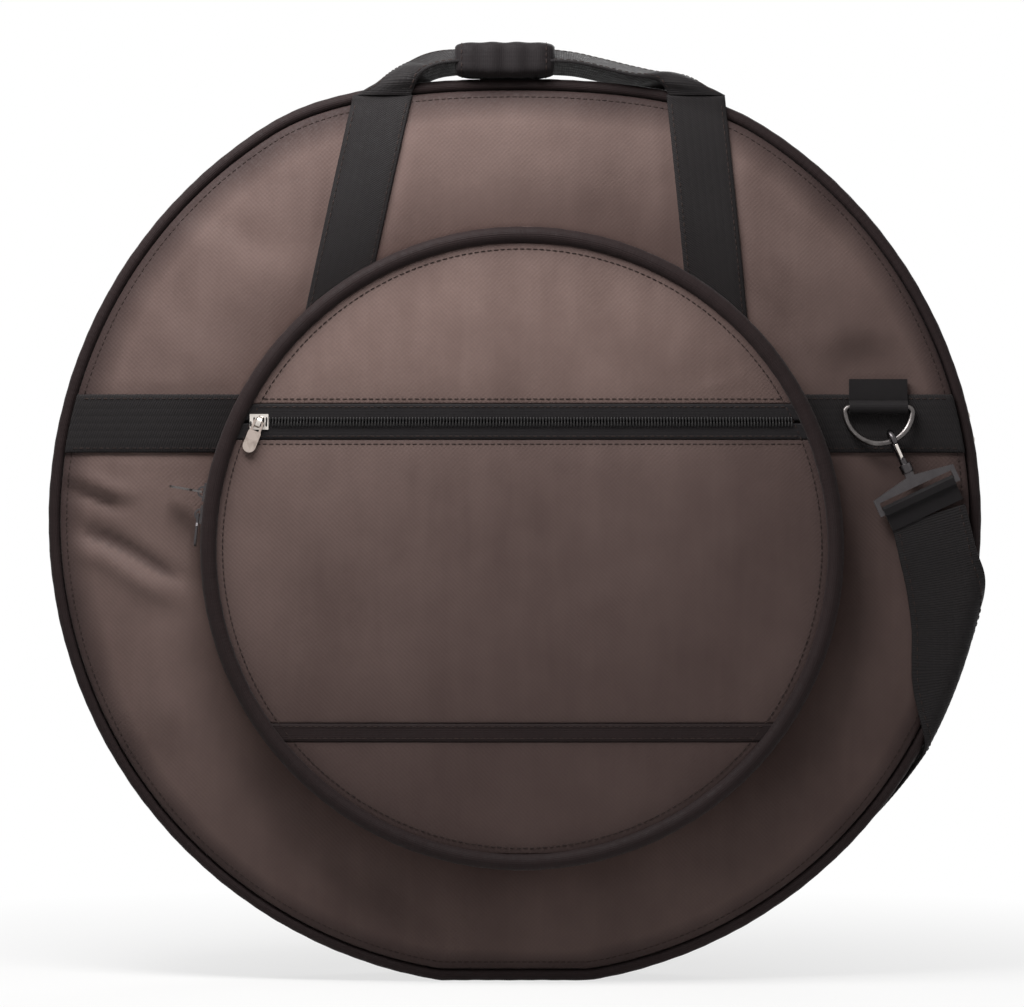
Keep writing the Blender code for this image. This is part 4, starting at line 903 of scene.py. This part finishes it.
def backSwell(x, z):
    # level over most of the back, and nearly flat at the top, where the handle folds down
    fromRim = np.clip(toRim(x, z, panel["inset"]), 0, None)
    full = np.clip(1 - (1 - np.clip(fromRim / 0.16, 0, 1)) ** 2, 0, 1)
    soft = ripple(x, z, 4.0, 0.11) * panel["rippleMm"] / 1000
    high = full * (panel["backSwell"] + soft) + np.sqrt(full) * foldsAt(x, z, panel["backFolds"])
    high = high + fieldAt(backPuckers, x, z) * cloth["backShare"] * (0.6 + 0.4 * betweenWebs(x, z))
    return high * heldDown(x, z, -1) * (1 - 0.96 * smoothStep(z, 0.150, 0.232))


def paintedShadeLowerRight(x, z):
    # painted shade: the cloth is darkened a little towards the lower right, where less light falls
    return 0.26 * smoothStep(0.55 * x - z, -0.12, 0.14)


def paintedPanelShade(x, z, front):
    # painted shade: the cloth is darkened where it turns away from the light at the rim and beside the raised
    # pocket
    off = toRim(x, z, panel["inset"]) - ripple(x, z, 5.0, 0.09) * 0.0025
    tone = 0.94 * (1 - smoothStep(off, -0.004, 0.034))
    if front:
        # painted shade on the front: a little all over, and more towards the lower right
        tone = np.maximum(tone, 0.27 + paintedShadeLowerRight(x, z))
        off = np.clip(fromPocketMiddle(x, z) - pocket["radius"], 0, None)
        tone = np.maximum(tone, 0.6 * np.exp(-off / 0.006))
        # painted shade in the valleys of the folds
        tone = np.maximum(tone, 0.6 * smoothStep(-foldsAt(x, z, panel["folds"]), 0.0004, 0.0034))
    # with a little random tone on top
    return np.clip(tone + ripple(x, z, 2.0, 0.05) * 0.05, 0, 1)


swells = {-1: frontSwell, 1: backSwell}
for word, side, body, foam in (("front", -1, "lid", "front_padding"), ("back", 1, "bag", "rear_padding")):
    swell, face = swells[side], bag["halfDepth"]
    level = lambda base, share=1: lambda x, z: side * (base + swell(x, z) * share)
    reach = lambda turn: rimRadius(turn, panel["inset"])
    skin = discBody(word + "Panel", (0, 0), reach, level(face), level(face - panel["skin"]), panel["rings"],
                    panel["turns"], lambda x, z: paintedPanelShade(x, z, side < 0))
    dress(skin, bagCloth, "nylon", body, word + "_panel")
    outer, inner = (level(*pair) for pair in zip(panel["foam"], panel["foamShare"]))
    pad = discBody(word + "Padding", (0, 0), reach, outer, inner, 30, 200)
    dress(pad, lining, "foam", body, foam)
say("panels ready")


# piping, gussets and the main zip round the rim

rim = {
    "coil": 0.0020, "coilHigh": 0.0027, "coilWide": 0.00145, "coilLong": 0.0041, "coilOff": 0.00165,
    "coilInset": 0.0050, "zipMargin": 0.004,
    # insets from the outline, and depths from the bag's middle
    "gusset": (0.0026, 0.0055), "gussetEdge": 0.0083, "gussetSwell": 0.0007,
    "tape": (0.0038, 0.0052), "tapeFrom": 0.0009, "tapeTo": 0.0125, "tapeLap": 0.0012,
    "stitchInset": {"gusset": 0.0025, "panel": 0.0125}, "gussetStitch": 0.0026,
    # how uneven a sewn cord and a gusset are: size, count round the rim, start
    "uneven": ((0.045, 131, 0), (0.03, 47, 1)), "waves": ((0.35, 23, 1), (0.25, 61, 0)),
}


def rimPath(turn, inset, y):
    return circlePath(turn, rimRadius(turn, inset), y)


def tubeSection(turn, radius, sides, uneven):
    # a cord in its cloth cover, slightly uneven where it is stitched
    t = np.linspace(0, 2 * pi, sides, endpoint=False)
    r = radius * (1 - sum(size * (1 + np.sin(turn * count + start)) / 2 for size, count, start in uneven))
    return r[:, None] * np.sin(t), r[:, None] * np.cos(t)


def rimTube(name, side, look):
    def loop(turn):
        s, c = tubeSection(turn, bag["piping"], 16, rim["uneven"])
        return bag["piping"] - s, side * (bag["halfDepth"] - bag["piping"]) + c
    return dress(ringBody(name, loop, 480, rimRadius), *look)


def band(name, insets, depths, look, swell, waves, reach, span, turns, soft, middle=(0, 0)):
    # a strip that follows a seam: a rounded rectangle, its outer face swollen a little between its edges
    (inA, inB), (yA, yB) = insets, sorted(depths)

    def loop(turn):
        a, b = boxLoop(inA, inB, yA, yB, soft)
        between = np.clip(1 - ((b - (yA + yB) / 2) / ((yB - yA) / 2)) ** 2, 0, 1)
        wave = 1 + sum(high * np.sin(turn * count + start) for high, count, start in waves)[:, None]
        inset = a[None] - swell * between[None] * wave * (a[None] < (inA + inB) / 2)
        return inset, np.broadcast_to(b, inset.shape)
    return dress(ringBody(name, loop, turns, reach, span, middle), *look)


def rimBand(name, insets, depths, look, swell=0, span=None, turns=360, soft=0.0006):
    reach = lambda turn, inset: rimRadius(turn, inset, np.clip(inset - insets[0], 0, None))
    return band(name, insets, depths, look, swell, rim["waves"], reach, span, turns, soft)


def circleCoil(name, radius, end, shift, path, shape, look):
    # one half of a closed coil: a bead at each step round a circle
    step = rim["coil"] / radius
    turn = np.arange(-end, end, step) + shift * step / 2
    out, onward = spokes(turn)
    across = np.broadcast_to((0, 1.0, 0), out.shape)
    return dress(repeated(name, shape, path(turn), across, onward, out), coilNylon, "coil", *look)


seamTurns = np.linspace(-pi, pi, 700, endpoint=False)
coilBead = bead(rim["coilLong"], rim["coilWide"], rim["coilHigh"], 0.7)
for word, side, body in (("Front", -1, "lid"), ("Rear", 1, "bag")):
    node = "_" + word.lower()
    rimTube("piping" + word, side, (bindingTape, "binding", body, "piping" + node))
    rimBand("gusset" + word, rim["gusset"],
            (side * (bag["halfDepth"] - rim["gussetEdge"]), side * rim["tapeTo"]),
            (bagCloth, "nylon", body, "gusset" + node), rim["gussetSwell"])
    rimBand("zipTape" + word, rim["tape"],
            (side * rim["tapeFrom"], side * (rim["tapeTo"] + rim["tapeLap"])),
            (zipTape, "coil", body), 0, (-bag["zipEnd"], bag["zipEnd"]), 320, 0.0003)
    circleCoil("zipTeeth" + word, bag["radius"], bag["zipEnd"] - rim["zipMargin"], side > 0,
               lambda turn: rimPath(turn, rim["coilInset"], side * rim["coilOff"]), coilBead,
               (body, "zip_teeth" + node))
    line = rimPath(seamTurns, rim["stitchInset"]["gusset"], side * (rim["tapeTo"] + rim["gussetStitch"]))
    stitches("gussetStitch" + word, line, spokes(seamTurns)[0], body, closed=True)
    r = rimRadius(seamTurns, rim["stitchInset"]["panel"])
    level = bag["halfDepth"] + swells[side](r * np.sin(seamTurns), r * np.cos(seamTurns))
    stitches("rimStitch" + word, circlePath(seamTurns, r, side * level), (0, side, 0), body, closed=True)
say("rim ready")


# webbing straps and bands sewn on the panels

def sewnWeb(name, ends, side, body, node):
    # webbing between two slanted ends: u runs across, v along, and its face follows the swell of the panel
    half, base = bag["webWidth"] / 2, bag["halfDepth"] + bag["gap"]
    u = half * np.array([-1, -0.985, -0.95, -0.7, -0.35, 0, 0.35, 0.7, 0.95, 0.985, 1])
    start, stop = ends(u)
    v = np.linspace(0, 1, webs["along"])
    flat = start[None] + (stop - start)[None] * v[:, None, None]
    lip = np.clip((np.abs(u) - half + webs["round"]) / webs["round"], 0, 1)
    thick = bag["web"] * (0.25 + 0.75 * np.sqrt(1 - lip ** 2))
    P = atPlace(flat[..., 0], side * (base + swells[side](flat[..., 0], flat[..., 1]) + thick), flat[..., 1])
    long = np.linalg.norm(stop - start, axis=-1)
    uv = np.stack(np.broadcast_arrays(u[None], v[:, None] * long[None]), -1)
    dress(sheetBody(name, P, -side * (thick + 0.0002), uv), strapWebbing, "webbing", body, node)
    for word, s in (("A", -1), ("B", 1)):
        k = s * (half - webs["stitchIn"])
        x, z = np.array([[np.interp(k, u, row[:, c]) for c in (0, 1)] for row in flat[1:-2]]).T
        line = atPlace(x, side * (base + bag["web"] + swells[side](x, z)), z)
        stitches(name + "Stitch" + word, line, (0, side, 0), body)


def meetPocket(points, way):
    # the points moved along a line to where it comes to the pocket's circle
    d = points - np.array(pocketMiddle)
    b = (d * way).sum(-1)
    reach = pocket["radius"] - 0.001
    return points + way * (-b - np.sqrt(np.clip(b * b - (d * d).sum(-1) + reach * reach, 0, None)))[:, None]


def strapEnds(foot, lean, low):
    way = unit(np.array((lean, 1.0)))

    def ends(u):
        base = np.array((foot, webs["footHeight"])) + np.array((way[1], -way[0])) * u[:, None]
        at = lambda height: base + way * ((height - base[:, 1]) / way[1])[:, None]
        top = at(webs["topHeight"])
        return meetPocket(top, -way) if low is None else at(low), top
    return ends


def bandEnds(side, toPocket):
    def ends(u):
        z = webs["band"] + u
        rimX = side * np.sqrt((bag["radius"] - webs["edge"]) ** 2 - z ** 2)
        outer = np.stack([rimX, z], -1)
        return meetPocket(outer, np.array((-side, 0.0))) if toPocket else np.stack([-rimX, z], -1), outer
    return ends


bandTop = webs["band"] + bag["webWidth"] / 2 + bag["gap"]
for layer, side, body, low in (("front", -1, "lid", None), ("back", 1, "bag", bandTop)):
    for word, place in webs["straps"].items():
        sewnWeb(layer + "Strap" + word, strapEnds(*place, low), side, body, layer + "_strap_" + word.lower())
sewnWeb("frontBandLeft", bandEnds(-1, True), -1, "lid", "front_band_left")
sewnWeb("frontBandRight", bandEnds(1, True), -1, "lid", "front_band_right")
sewnWeb("backBand", bandEnds(1, False), 1, "bag", "back_band")
say("webbing ready")


# carrying handles

handle = {
    "hinge": 0.2785, "foot": 0.0011, "rest": 0.0300, "top": 0.3025, "arch": 0.12, "stitchFrom": 0.002,
    "gripLeft": -0.039, "gripRight": 0.026, "gripDepth": 0.043, "gripHeight": 0.0222, "gripCrown": 0.43,
    "gripSquare": 0.42, "gripShare": 0.985, "gripRows": 60, "gripSides": 64, "gripSag": 0.0012,
    "gripSeams": {"Left": 4, "Right": 54},
    # the webbing's two edges, each as sideways, height, distance in front: they lie flat at the foot and turn
    # edge-on over the rim, far edge first
    "left": (
        (-0.1044, 0.2770, 0.0388, -0.0678, 0.2770, 0.0388), (-0.0978, 0.2812, 0.0390, -0.0658, 0.2822, 0.0402),
        (-0.0885, 0.2866, 0.0382, -0.0634, 0.2872, 0.0432), (-0.0795, 0.2939, 0.0250, -0.0599, 0.2920, 0.0465),
        (-0.0704, 0.3004, 0.0140, -0.0547, 0.2952, 0.0482), (-0.0599, 0.3057, 0.0118, -0.0482, 0.2972, 0.0484),
        (-0.0488, 0.3084, 0.0116, -0.0410, 0.2982, 0.0484), (-0.0371, 0.3092, 0.0116, -0.0358, 0.2988, 0.0484),
    ),
    "right": (
        (0.1379, 0.2770, 0.0388, 0.1007, 0.2770, 0.0388), (0.1330, 0.2796, 0.0390, 0.0980, 0.2818, 0.0402),
        (0.1240, 0.2838, 0.0386, 0.0938, 0.2858, 0.0430), (0.1131, 0.2893, 0.0300, 0.0883, 0.2880, 0.0462),
        (0.1022, 0.2925, 0.0190, 0.0818, 0.2890, 0.0480), (0.0916, 0.2948, 0.0138, 0.0739, 0.2902, 0.0484),
        (0.0785, 0.2978, 0.0120, 0.0635, 0.2926, 0.0484), (0.0589, 0.3026, 0.0116, 0.0504, 0.2957, 0.0484),
        (0.0393, 0.3070, 0.0116, 0.0374, 0.2980, 0.0484), (0.0230, 0.3092, 0.0116, 0.0230, 0.2988, 0.0484),
    ),
}


def handleLoop(name, side, body, node):
    # each section runs from the far edge to the near one, and arches outwards where the edges draw together
    rows = np.array(handle["left"] + handle["right"][::-1])
    middles = (rows[:, :3] + rows[:, 3:]) / 2
    far, near = (atPlace(p[:, 0], side * p[:, 2], p[:, 1])
                 for p in (smoothPath(rows[:, :3], 9, middles), smoothPath(rows[:, 3:], 9, middles)))
    path = (far + near) / 2
    chord = np.linalg.norm(near - far, axis=1)
    wide = (near - far) / bag["webWidth"]
    out = unit(np.cross(unit(np.gradient(path, axis=0)), wide))
    upward = out[:, 2] * np.abs(out[:, 2]) + out[:, 1] * side > 0
    out = np.where(upward[:, None], out, -out)
    profile = flatProfile(bag["webWidth"], bag["web"])
    arch = handle["arch"] * np.sqrt(np.clip(bag["webWidth"] ** 2 - chord ** 2, 0, None))
    hump = lambda off: 1 - (2 * off / bag["webWidth"]) ** 2
    P = (path[:, None] + wide[:, None] * profile[None, :, :1]
         + out[:, None] * (profile[None, :, 1] + arch[:, None] * hump(profile[None, :, 0]))[..., None])
    loop = surface(name, P, clothMap(profile, runOf(path)))
    trimBelow(loop, bag["centre"] + handle["hinge"] - handle["foot"])
    dress(loop, strapWebbing, "webbing", body, node)
    keep = path[:, 2] > bag["centre"] + handle["hinge"] + handle["stitchFrom"]
    for word, u in (("A", -1), ("B", 1)):
        k = u * (bag["webWidth"] / 2 - webs["stitchIn"])
        line = path + wide * k + out * (bag["web"] / 2 + arch * hump(k))[:, None]
        stitches(name + "Stitch" + word, line[keep], out[keep], body)


def trimBelow(obj, height):
    bm = bmesh.new()
    bm.from_mesh(obj.data)
    everything = bm.verts[:] + bm.edges[:] + bm.faces[:]
    bmesh.ops.bisect_plane(bm, geom=everything, plane_co=(0, 0, height), plane_no=(0, 0, 1), clear_inner=True)
    bmesh.ops.holes_fill(bm, edges=bm.edges)
    bmesh.ops.recalc_face_normals(bm, faces=bm.faces)
    bm.to_mesh(obj.data)
    bm.free()


def paddedGrip():
    # the hand wrap: a rounded rectangle along the loop, fuller in its middle, pinched at its sewn ends
    v = np.linspace(0, 1, handle["gripRows"])
    turn = np.linspace(0, 2 * pi, handle["gripSides"], endpoint=False)
    full = 1 - 0.20 * np.abs(2 * v - 1) ** 5 - 0.04 * np.cos(v * pi * 8) * (1 - np.abs(2 * v - 1)) ** 0.5
    ends = np.clip(np.minimum(v, 1 - v) / 0.05, 0, 1)
    full = (full * (0.80 + 0.20 * np.sqrt(1 - (1 - ends) ** 2)))[:, None]
    a, b = (np.sign(wave) * np.abs(wave) ** handle["gripSquare"] * handle[size] / 2 * handle["gripShare"]
            for wave, size in ((np.cos(turn), "gripDepth"), (np.sin(turn), "gripHeight")))
    middle = handle["top"] + handle["gripHeight"] * (handle["gripCrown"] - 0.5)
    sag = handle["gripSag"] * np.cos((v - 0.5) * pi)
    x = (handle["gripLeft"] + v * (handle["gripRight"] - handle["gripLeft"]))[:, None]
    P = atPlace(x, -handle["rest"] + a * full, middle + b * (1 + (full - 1) * 0.7) - sag[:, None] * (b < 0))
    uv = np.stack(np.broadcast_arrays(np.linspace(0, 0.12, len(turn) + 1)[None], x), -1)
    grip = dress(surface("handleGrip", P, uv), gripCloth, "binding", "front_loop", "handle_grip")
    for word, k in handle["gripSeams"].items():
        stitches("gripStitch" + word, P[k], unit(P[k] - P[k].mean(0)), "front_loop", closed=True)


handleLoop("frontHandle", -1, "front_loop", "front_handle")
handleLoop("backHandle", 1, "rear_loop", "back_handle")
paddedGrip()
say("handles ready")


# the round pocket

cover = {
    "crown": 0.0040, "rippleMm": 0.55, "edge": 0.1985, "edgeGap": 0.0012, "tapeRise": 0.0004, "tape": 0.0014,
    "zipMiddle": 0.0635, "zipTop": 0.0753, "zipFoot": 0.0520, "seamTop": -0.1312, "seamFoot": -0.1427,
    "seamTape": 0.0016, "lineEnd": 0.006, "coilOff": 0.0013,
    # depth in front of the bag's middle of what each half of the pocket's own zip joins
    "halves": {
        "Inner": {"body": "lid", "gusset": (-0.0511, -pocket["base"]), "swell": 0.0007,
                  "tape": (-0.0548, -0.0505), "coil": -0.0534, "shift": 0},
        "Outer": {"body": "pocket_cover", "gusset": (-0.0675, -0.0593), "swell": 0.0006,
                  "tape": (-0.0598, -0.0556), "coil": -0.0570, "shift": 1},
    },
    "tapeIn": (0.0010, 0.0022), "hinge": (-0.0590, -0.0514), "back": (-0.0698, -0.0678),
    "bindingDepth": -0.0756, "zipMargin": 0.006, "hingeMargin": 0.002,
    # rows of stitches: beside which edge, how far above it, on a tape or on the cloth
    "stitched": {
        "ZipTop": ("zipTop", -0.0022, 1), "ZipFoot": ("zipFoot", 0.0022, 1), "Upper": ("zipTop", 0.0030, 0),
        "PouchTop": ("zipFoot", -0.0028, 0), "TapeTop": ("seamTop", -0.0020, 1),
        "TapeFoot": ("seamFoot", 0.0020, 1),
    },
    "bindingStitch": (0.0052, 0.0002),
    "uneven": ((0.03, 97, 0), (0.02, 31, 2)), "waves": ((0.4, 17, 1), (0.25, 43, 0)),
    "folds": (
        (-0.120, 0.165, -0.070, 0.085, 0.0007, 0.013), (-0.020, 0.180, -0.010, 0.090, 0.0006, 0.012),
        (0.060, 0.165, 0.045, 0.090, -0.0006, 0.010), (0.115, 0.140, 0.100, 0.085, 0.0007, 0.010),
        (0.150, 0.095, 0.120, 0.082, 0.0009, 0.006), (-0.165, 0.020, -0.090, -0.040, 0.0007, 0.020),
        (-0.060, 0.000, 0.060, -0.030, -0.0006, 0.030), (0.165, 0.010, 0.080, -0.060, 0.0008, 0.022),
        (-0.110, -0.085, 0.020, -0.105, 0.0006, 0.020), (-0.090, -0.165, 0.060, -0.172, 0.0006, 0.018),
    ),
}


def coverSwell(x, z):
    # the face is sewn down at its round edge and drawn level along its zip, where the slider runs; the cloth
    # swells above the zip and, lower and longer, below it
    dx = (x - pocket["x"]) / cover["edge"]
    dz = (z - pocket["z"]) / cover["edge"]
    zipShare = (cover["zipMiddle"] - pocket["z"]) / cover["edge"]
    side = np.clip(1 - dx * dx, 0, 1)
    reach = np.sqrt(side)
    above = np.clip((dz - zipShare - 0.058) / np.clip(reach - zipShare, 0.05, None), 0, 1)
    below = np.clip((zipShare - 0.058 - dz) / (reach + zipShare), 0, 1)
    full = side * (above * (1 - above) * 4 + np.clip(below * (1 - below) * 4, 0, 1) ** 0.8)
    soft = ripple(x, z, 3.0, 0.075) * cover["rippleMm"] / 1000
    soft = soft + fieldAt(facePuckers, x, z) * cloth["faceShare"]
    inside = np.clip(1 - dx * dx - dz * dz, 0, 1) * smoothStep(abs(dz - zipShare), 0.05, 0.12)
    return full * cover["crown"] + np.sqrt(inside) * (soft + foldsAt(x, z, cover["folds"]))


def pocketBand(name, insets, depths, look, swell=0, span=None, turns=300, soft=0.0006):
    # on the pocket's circle the distance inwards is the radius with a minus sign
    reach = lambda turn, inset: -inset
    return band(name, insets, depths, look, swell, cover["waves"], reach, span, turns, soft, pocketMiddle)


def pocketCord(turn):
    s, c = tubeSection(turn, pocket["binding"] * 0.98, 20, cover["uneven"])
    return radius - pocket["binding"] + s, cover["bindingDepth"] - c


radius, zipEnd = pocket["radius"], pocket["zipEnd"]
span = (-zipEnd, zipEnd)
wall, tape = (-radius, pocket["wall"] - radius), [inset - radius for inset in cover["tapeIn"]]
pocketBead = bead(0.0040, rim["coilWide"], 0.0025, 0.7)
for word, half in cover["halves"].items():
    pocketBand("pocketGusset" + word, wall, half["gusset"],
               (bagCloth, "nylon", half["body"], "pocket_gusset_" + word.lower()), half["swell"])
for word, half in cover["halves"].items():
    look = (zipTape, "coil", half["body"])
    pocketBand("pocketTape" + word, tape, half["tape"], look, 0, span, 300, 0.0003)
for word, half in cover["halves"].items():
    circleCoil("pocketTeeth" + word, radius, zipEnd - cover["zipMargin"], half["shift"],
               lambda turn: circlePath(turn, radius - cover["tapeIn"][1], half["coil"], pocketMiddle),
               pocketBead, (half["body"], "pocket_teeth_" + word.lower()))
strip = pocketBand("pocketHingeStrip", wall, cover["hinge"],
                   (bagCloth, "nylon", None, "pocket_hinge_strip"), 0,
                   (zipEnd + cover["hingeMargin"], 2 * pi - zipEnd - cover["hingeMargin"]), 90)
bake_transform(strip)
outer, inner = (lambda x, z, y=y: y + 0 * x for y in cover["back"])
faceBack = discBody("pocketFace", pocketMiddle, lambda turn: radius + 0 * turn, outer, inner, 24, 200)
dress(faceBack, lining, "nylon", "pocket_cover", "pocket_face")
cord = ringBody("pocketBinding", pocketCord, 420, lambda turn, r: r, None, pocketMiddle)
dress(cord, bindingTape, "binding", "pocket_cover", "pocket_binding")


def faceLayer(name, node, low, high, rows, thick, material, paintedShadeAll=None):
    # a level slice of the round face: u runs across it from side to side, v from its foot to its top; a tape
    # gets no painted shade and stands a little higher than the cloth
    z = np.linspace(low, high, rows)[:, None]
    half = np.sqrt(np.clip(cover["edge"] ** 2 - (z - pocket["z"]) ** 2, 1e-6, None))
    x = pocket["x"] + half * np.sin(np.linspace(-pi / 2, pi / 2, 240))[None]
    z, tone = np.broadcast_to(z, x.shape), 0 * x
    rise = cover["tapeRise"] if paintedShadeAll is None else 0
    P = atPlace(x, -(pocket["face"] + rise + coverSwell(x, z)), z)
    if paintedShadeAll is not None:
        # painted shade: darker next to the binding and along the cut edges under the tapes, then all over the
        # layer and towards the lower right
        away = np.clip(cover["edge"] - fromPocketMiddle(x, z), 0, None)
        fromCut = np.minimum(z - low, high - z)
        tone = np.maximum(0.75 * np.exp(-away / 0.007), 0.45 * np.exp(-fromCut / 0.0022))
        tone = tone + (1 - tone) * (paintedShadeAll + paintedShadeLowerRight(x, z))
    dress(sheetBody(name, P, thick, np.stack([x, z], -1), tone), material,
          "binding" if paintedShadeAll is None else "nylon", "pocket_cover", node)


zipMid, reach = cover["zipMiddle"], cover["edge"] - cover["edgeGap"]
# the last number is each layer's painted shade all over: the pouch and the lower face are darkened where less
# light falls
for name, node, low, high, rows, paintedShadeAll in (
        ("faceUpper", "face_upper", cover["zipTop"], pocket["z"] + reach, 100, 0.0),
        ("pouchPanel", "pouch_panel", cover["seamTop"] + 0.0004, cover["zipFoot"], 150, 0.34),
        ("faceLower", "face_lower", pocket["z"] - reach, cover["seamFoot"] - 0.0002, 60, 0.38)):
    faceLayer(name, node, low, high, rows, pocket["faceSkin"], bagCloth, paintedShadeAll)
faceLayer("faceZipUpper", "face_zip_upper", zipMid + 0.0010, cover["zipTop"] - 0.0002, 8, cover["tape"],
          zipTape)
faceLayer("faceZipLower", "face_zip_lower", cover["zipFoot"] + 0.0003, zipMid - 0.0010, 8, cover["tape"],
          zipTape)
faceLayer("seamTape", "seam_tape", cover["seamFoot"], cover["seamTop"], 9, cover["seamTape"], bindingTape)


def faceLine(z, rise=0):
    half = sqrt(cover["edge"] ** 2 - (z - pocket["z"]) ** 2) - cover["lineEnd"]
    x = pocket["x"] + np.linspace(-half, half, 260)
    return atPlace(x, -(pocket["face"] + rise + coverSwell(x, z + 0 * x)), z)


for word, side in (("Upper", 1), ("Lower", -1)):
    # half of the closed coil in the face's zip
    places, t, out = spacedAlong(faceLine(zipMid + side * cover["coilOff"]), rim["coil"], (0, -1, 0))
    places = places + t * (side * rim["coil"] / 4) + out * 0.0001
    tooth = bead(0.0036, rim["coilWide"], 0.0021, 0.7)
    coil = repeated("faceCoil" + word, tooth, places, np.cross(out, t), t, out)
    dress(coil, coilNylon, "coil", "pocket_cover")
for word, (beside, off, raised) in cover["stitched"].items():
    line = faceLine(cover[beside] + off, raised * cover["tapeRise"])
    stitches("faceStitch" + word, line, (0, -1, 0), "pocket_cover")
turn = np.linspace(-pi, pi, 500, endpoint=False)
r = cover["edge"] - cover["bindingStitch"][0]
x, z = pocket["x"] + r * np.sin(turn), pocket["z"] + r * np.cos(turn)
line = atPlace(x, -(pocket["face"] + cover["bindingStitch"][1] + coverSwell(x, z)), z)
stitches("bindingStitch", line, (0, -1, 0), "pocket_cover", closed=True)
say("pocket ready")


# the divider and the fold under the bag

divider = {
    "inset": 0.0098, "baseInset": 0.0064, "half": 0.0026, "swell": 0.0006, "foldEnd": radians(157.5),
    "binding": {"inset": 0.0120, "baseLess": 0.0034, "wide": 0.0026, "deep": 0.0036},
}


def dividerFace(side):
    rise = lambda x, z: divider["swell"] * np.clip(toRim(x, z, divider["inset"]) / 0.02, 0, 1)
    return lambda x, z: side * (divider["half"] + rise(x, z))


def dividerEdge(turn):
    t = np.linspace(0, 2 * pi, 14, endpoint=False)[None] + 0 * turn[:, None]
    return edge["inset"] - edge["wide"] * np.sin(t), edge["deep"] * np.cos(t)


edge = divider["binding"]
leaf = discBody("dividerLeaf", (0, 0), lambda turn: rimRadius(turn, divider["inset"], divider["baseInset"]),
                dividerFace(-1), dividerFace(1), 30, 200)
dress(leaf, lining, "foam", "divider_leaf", "divider")
dress(ringBody("dividerBinding", dividerEdge, 300,
               lambda turn, inset: rimRadius(turn, inset, inset - edge["baseLess"])),
      bindingTape, "binding", "divider_leaf")
fold = rimBand("baseFold", (0.0028, 0.0052), (-0.0040, 0.0040), (bagCloth, "nylon", None, "bottom_panel"), 0,
               (divider["foldEnd"], 2 * pi - divider["foldEnd"]), 90, 0.0004)
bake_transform(fold)
say("divider and base fold ready")


# rings, hooks and gates at both ends of the strap

def placed(matrix, points):
    m = np.array(matrix)
    return np.asarray(points, float) @ m[:3, :3].T + m[:3, 3]


def hardwareSet(word, places):
    h = hardware
    half, corner, shank = h["half"], h["shoulder"], h["shank"]
    # the ring: a straight bar and a half circle, their corners rounded by averaging
    route = [(x, 0, 0) for x in (-half + corner, -0.007, 0.007, half - corner)]
    route += [(half * sin(a), 0, -corner - half * cos(a)) for a in np.linspace(pi / 2, -pi / 2, 33)]
    route = np.array(route + route[:1])
    run = runOf(route)
    at = np.linspace(0, run[-1], 160, endpoint=False)
    route = np.stack([np.interp(at, run, route[:, k]) for k in range(3)], -1)
    for _ in range(3):
        route = (np.roll(route, 1, 0) + 2 * route + np.roll(route, -1, 0)) / 4
    outward = np.array(places["ring"])[:3, 1]
    ring = rod(word + "DRing", placed(places["ring"], route), h["wire"], outward, True)
    dress(ring, greyNickel, "nickel", word + "_ring", word + "_d_ring")

    # the hook: its open bow, its throat and its shank, with a collar at the end; each knot has its thickness
    points = [(0, -bow, -h["tip"])] + [(0, -bow * cos(a), bow * sin(a)) for a in np.linspace(0, pi, 17)]
    points += [(0, -bow * d, -shank * z) for d, z in (
        (-1, 0.24), (-0.85, 0.39), (-0.42, 0.53), (0, 0.64), (0, 0.735), (0, 0.755), (0, 1))]
    collar = h["collar"] / h["hookWire"]
    wide = np.array([0.78] + [1] * (len(points) - 5) + [1.1, 1.1] + [collar] * 2)
    middle = smoothPath(points, 5)
    swell = np.interp(np.arange(len(middle)) / 5, np.arange(len(points)), wide)
    swell = np.where(swell > 1.5, collar * 0.97, swell)
    across = np.array(places["hook"])[:3, 0]
    hook = rod(word + "Hook", placed(places["hook"], middle), h["hookWire"], across, grow=swell)
    dress(hook, darkChrome, "nickel", word + "_hook", word + "_hook")

    # the sprung gate: a straight bar across the hook's mouth
    foot = np.array((0, -0.63 * bow, -shank * 0.53))
    tip = np.array((0, -bow, -h["tip"] - h["gate"] / 2))
    t = np.linspace(0, 1, 24)[:, None]
    fat = 0.96 + 0.04 * np.cos(t[:, 0] * 60)
    gate = rod(word + "Gate", placed(places["hook"], foot + (tip - foot) * t), h["gate"], across, grow=fat)
    dress(gate, brightNickel, "nickel", word + "_gate", word + "_gate")


hardwareSet("front", frontSet)
hardwareSet("back", backSet)
for material, nodes in (
        (darkChrome, ("front_eye", "back_eye", "pocket_slider_upper", "pocket_slider_lower",
                      "pocket_pull_lower")),
        (strapWebbing, ("front_ring_tab", "front_strap_end", "back_ring_tab", "back_strap_end")),
        (brightNickel, ("face_slider", "main_slider_left", "main_slider_right", "main_pull_left",
                        "main_pull_right")),
        (blackPaint, ("strap_adjuster",)), (warmPull, ("face_pull",)), (greyNickel, ("pocket_pull_upper",))):
    for node in nodes:
        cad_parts[node].data.materials.clear()
        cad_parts[node].data.materials.append(material)
say("hardware ready")
